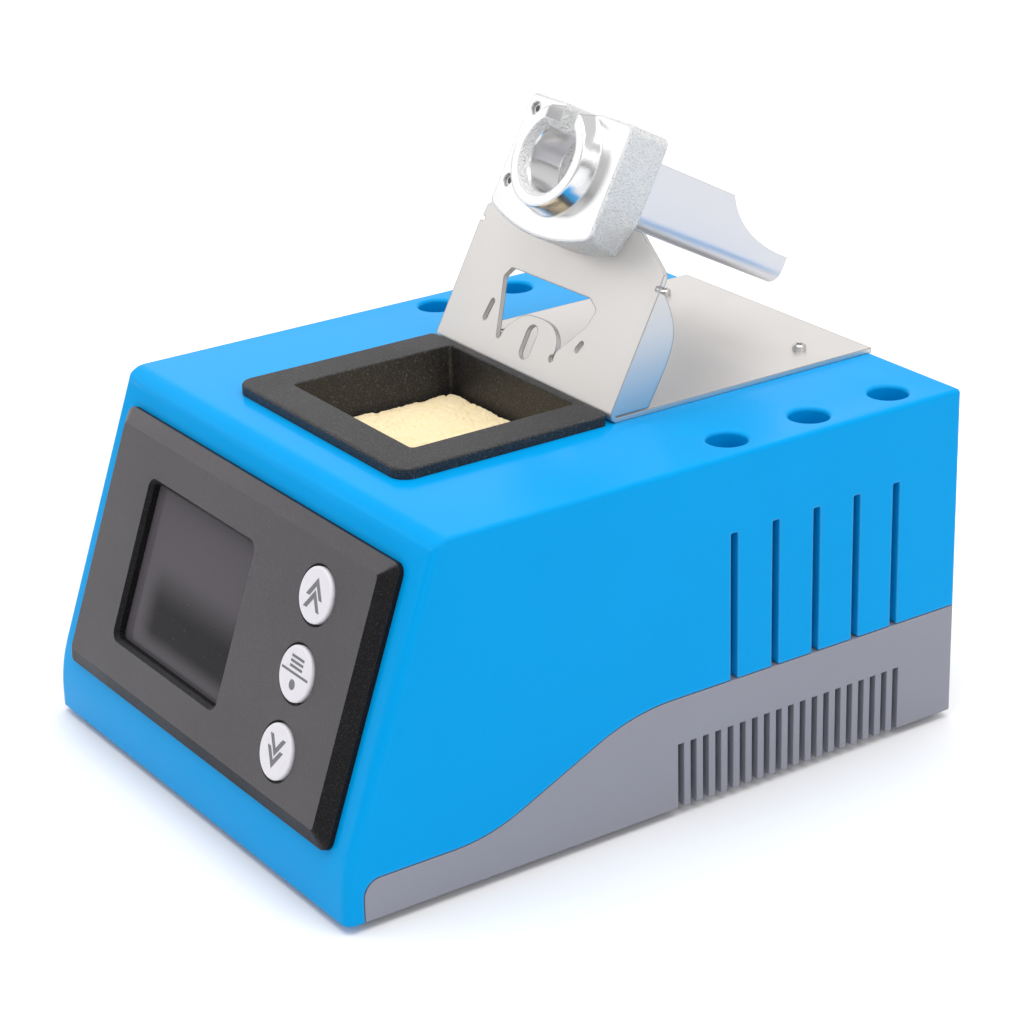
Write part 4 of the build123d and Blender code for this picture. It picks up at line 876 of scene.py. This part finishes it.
# ---------------------------------------------------------------- studio
@dataclass
class Studio:
    """Floor, soft lights, sky and the camera.

    The sky's levels are pairs of height, from 0 straight below to 1 straight above, and brightness.
    """

    floor_half: float = 4.0
    floor_tone: Colour = (0.93, 0.93, 0.935, 1)
    aim: Triple = (0.0, 0.0, 0.06)
    lens: float = 101.523
    sensor: float = 36.0
    camera_spot: Triple = (500.19 * MM, -333.042 * MM, 302.17 * MM)
    camera_right: Triple = (0.565268, 0.82449, -0.026248)
    camera_up: Triple = (-0.305883, 0.239051, 0.92157)
    camera_back: Triple = (0.766099, -0.512905, 0.387325)
    sky_levels: tuple[tuple[float, float], ...] = ((0.0, 0.6), (0.49, 0.25), (0.507, 0.12), (0.54, 0.62),
                                                   (0.68, 0.78), (1.0, 0.80))

    def floor(self) -> None:
        """A plain pale floor that the station stands on."""
        mesh = bpy.data.meshes.new("floor")
        h = self.floor_half
        mesh.from_pydata([(-h, -h, 0), (h, -h, 0), (h, h, 0), (-h, h, 0)], [], [(0, 1, 2, 3)])
        made = bpy.data.objects.new("floor", mesh)
        bpy.context.scene.collection.objects.link(made)
        paint = bpy.data.materials.new("floor_paper")
        paint.use_nodes = True
        shader = paint.node_tree.nodes["Principled BSDF"]
        shader.inputs["Base Color"].default_value = self.floor_tone
        shader.inputs["Roughness"].default_value = 0.9
        shader.inputs["Specular IOR Level"].default_value = 0.1
        mesh.materials.append(paint)

    def softbox(self, name: str, spot: Triple, size: tuple[float, float], power: float) -> None:
        """A rectangular light at spot, aimed at the station.

        Args:
            name: the light's name.
            spot: its place, in metres.
            size: its width and height.
            power: its power, in watts.
        """
        data = bpy.data.lights.new(name, "AREA")
        data.shape = "RECTANGLE"
        data.size, data.size_y = size
        data.energy = power
        lamp = bpy.data.objects.new(name, data)
        bpy.context.scene.collection.objects.link(lamp)
        lamp.location = spot
        lamp.rotation_mode = "QUATERNION"
        lamp.rotation_quaternion = (Vector(self.aim) - Vector(spot)).to_track_quat("-Z", "Y")

    def sky(self) -> None:
        """A neutral sky: dim at the horizon, bright from a little above it."""
        world = bpy.data.worlds.new("studio")
        world.use_nodes = True
        bpy.context.scene.world = world
        n = Nodes(world.node_tree)
        n.tree.nodes.clear()
        way = n.add("TexCoord").outputs["Generated"]
        rise = n.add("SeparateXYZ", {0: way}).outputs[2]
        ramp = n.add("ValToRGB", {0: n.spread(rise, -1.0, 1.0)})
        stops = ramp.color_ramp.elements
        for index, (spot, level) in enumerate(self.sky_levels):
            stop = stops[index] if index < 2 else stops.new(spot)
            stop.position, stop.color = spot, (level, level, level * 1.01, 1)
        light = n.add("Background", {"Color": ramp.outputs[0], "Strength": 1.0})
        n.add("OutputWorld", {"Surface": light.outputs[0]})

    def camera(self) -> None:
        """A long lens from the front right, a little above."""
        data = bpy.data.cameras.new("camera")
        data.lens, data.sensor_width = self.lens, self.sensor
        data.clip_start, data.clip_end = 0.01, 30.0
        lens = bpy.data.objects.new("camera", data)
        bpy.context.scene.collection.objects.link(lens)
        turn = Matrix((self.camera_right, self.camera_up, self.camera_back)).transposed().to_4x4()
        lens.matrix_world = Matrix.Translation(self.camera_spot) @ turn
        bpy.context.scene.camera = lens

    def build(self) -> None:
        """Sets up the whole studio."""
        self.floor()
        self.softbox("overhead", (0.1, 0.0, 1.5), (1.6, 1.6), 17.0)
        self.softbox("front_left", (-1.3, -1.2, 0.75), (1.2, 1.0), 2.2)
        self.softbox("left", (-1.7, -0.15, 0.45), (0.5, 0.4), 1.3)
        self.softbox("back_left", (-1.6, 0.9, 0.9), (1.0, 0.9), 1.2)
        self.softbox("right", (1.7, 0.4, 0.9), (1.0, 0.9), 3.2)
        self.sky()
        self.camera()
        bpy.context.scene.view_settings.view_transform = "Standard"


def main() -> None:
    """Builds the studio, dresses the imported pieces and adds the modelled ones."""
    logging.basicConfig(level=logging.INFO, format="%(name)s: %(message)s")
    Studio().build()
    LOG.info("packed pieces: %d", PackedPieces().dress())
    pad = SpongePad().build()
    LOG.info("%s: %d points", pad.name, len(pad.data.vertices))
    for sign, body in ((Sign.UP, "button_up"), (Sign.LIST, "button_menu"), (Sign.DOWN, "button_down")):
        made = ButtonSign(sign, body).build()
        LOG.info("%s: %d points", made.name, len(made.data.vertices))


if __name__ == "__main__":
    main()
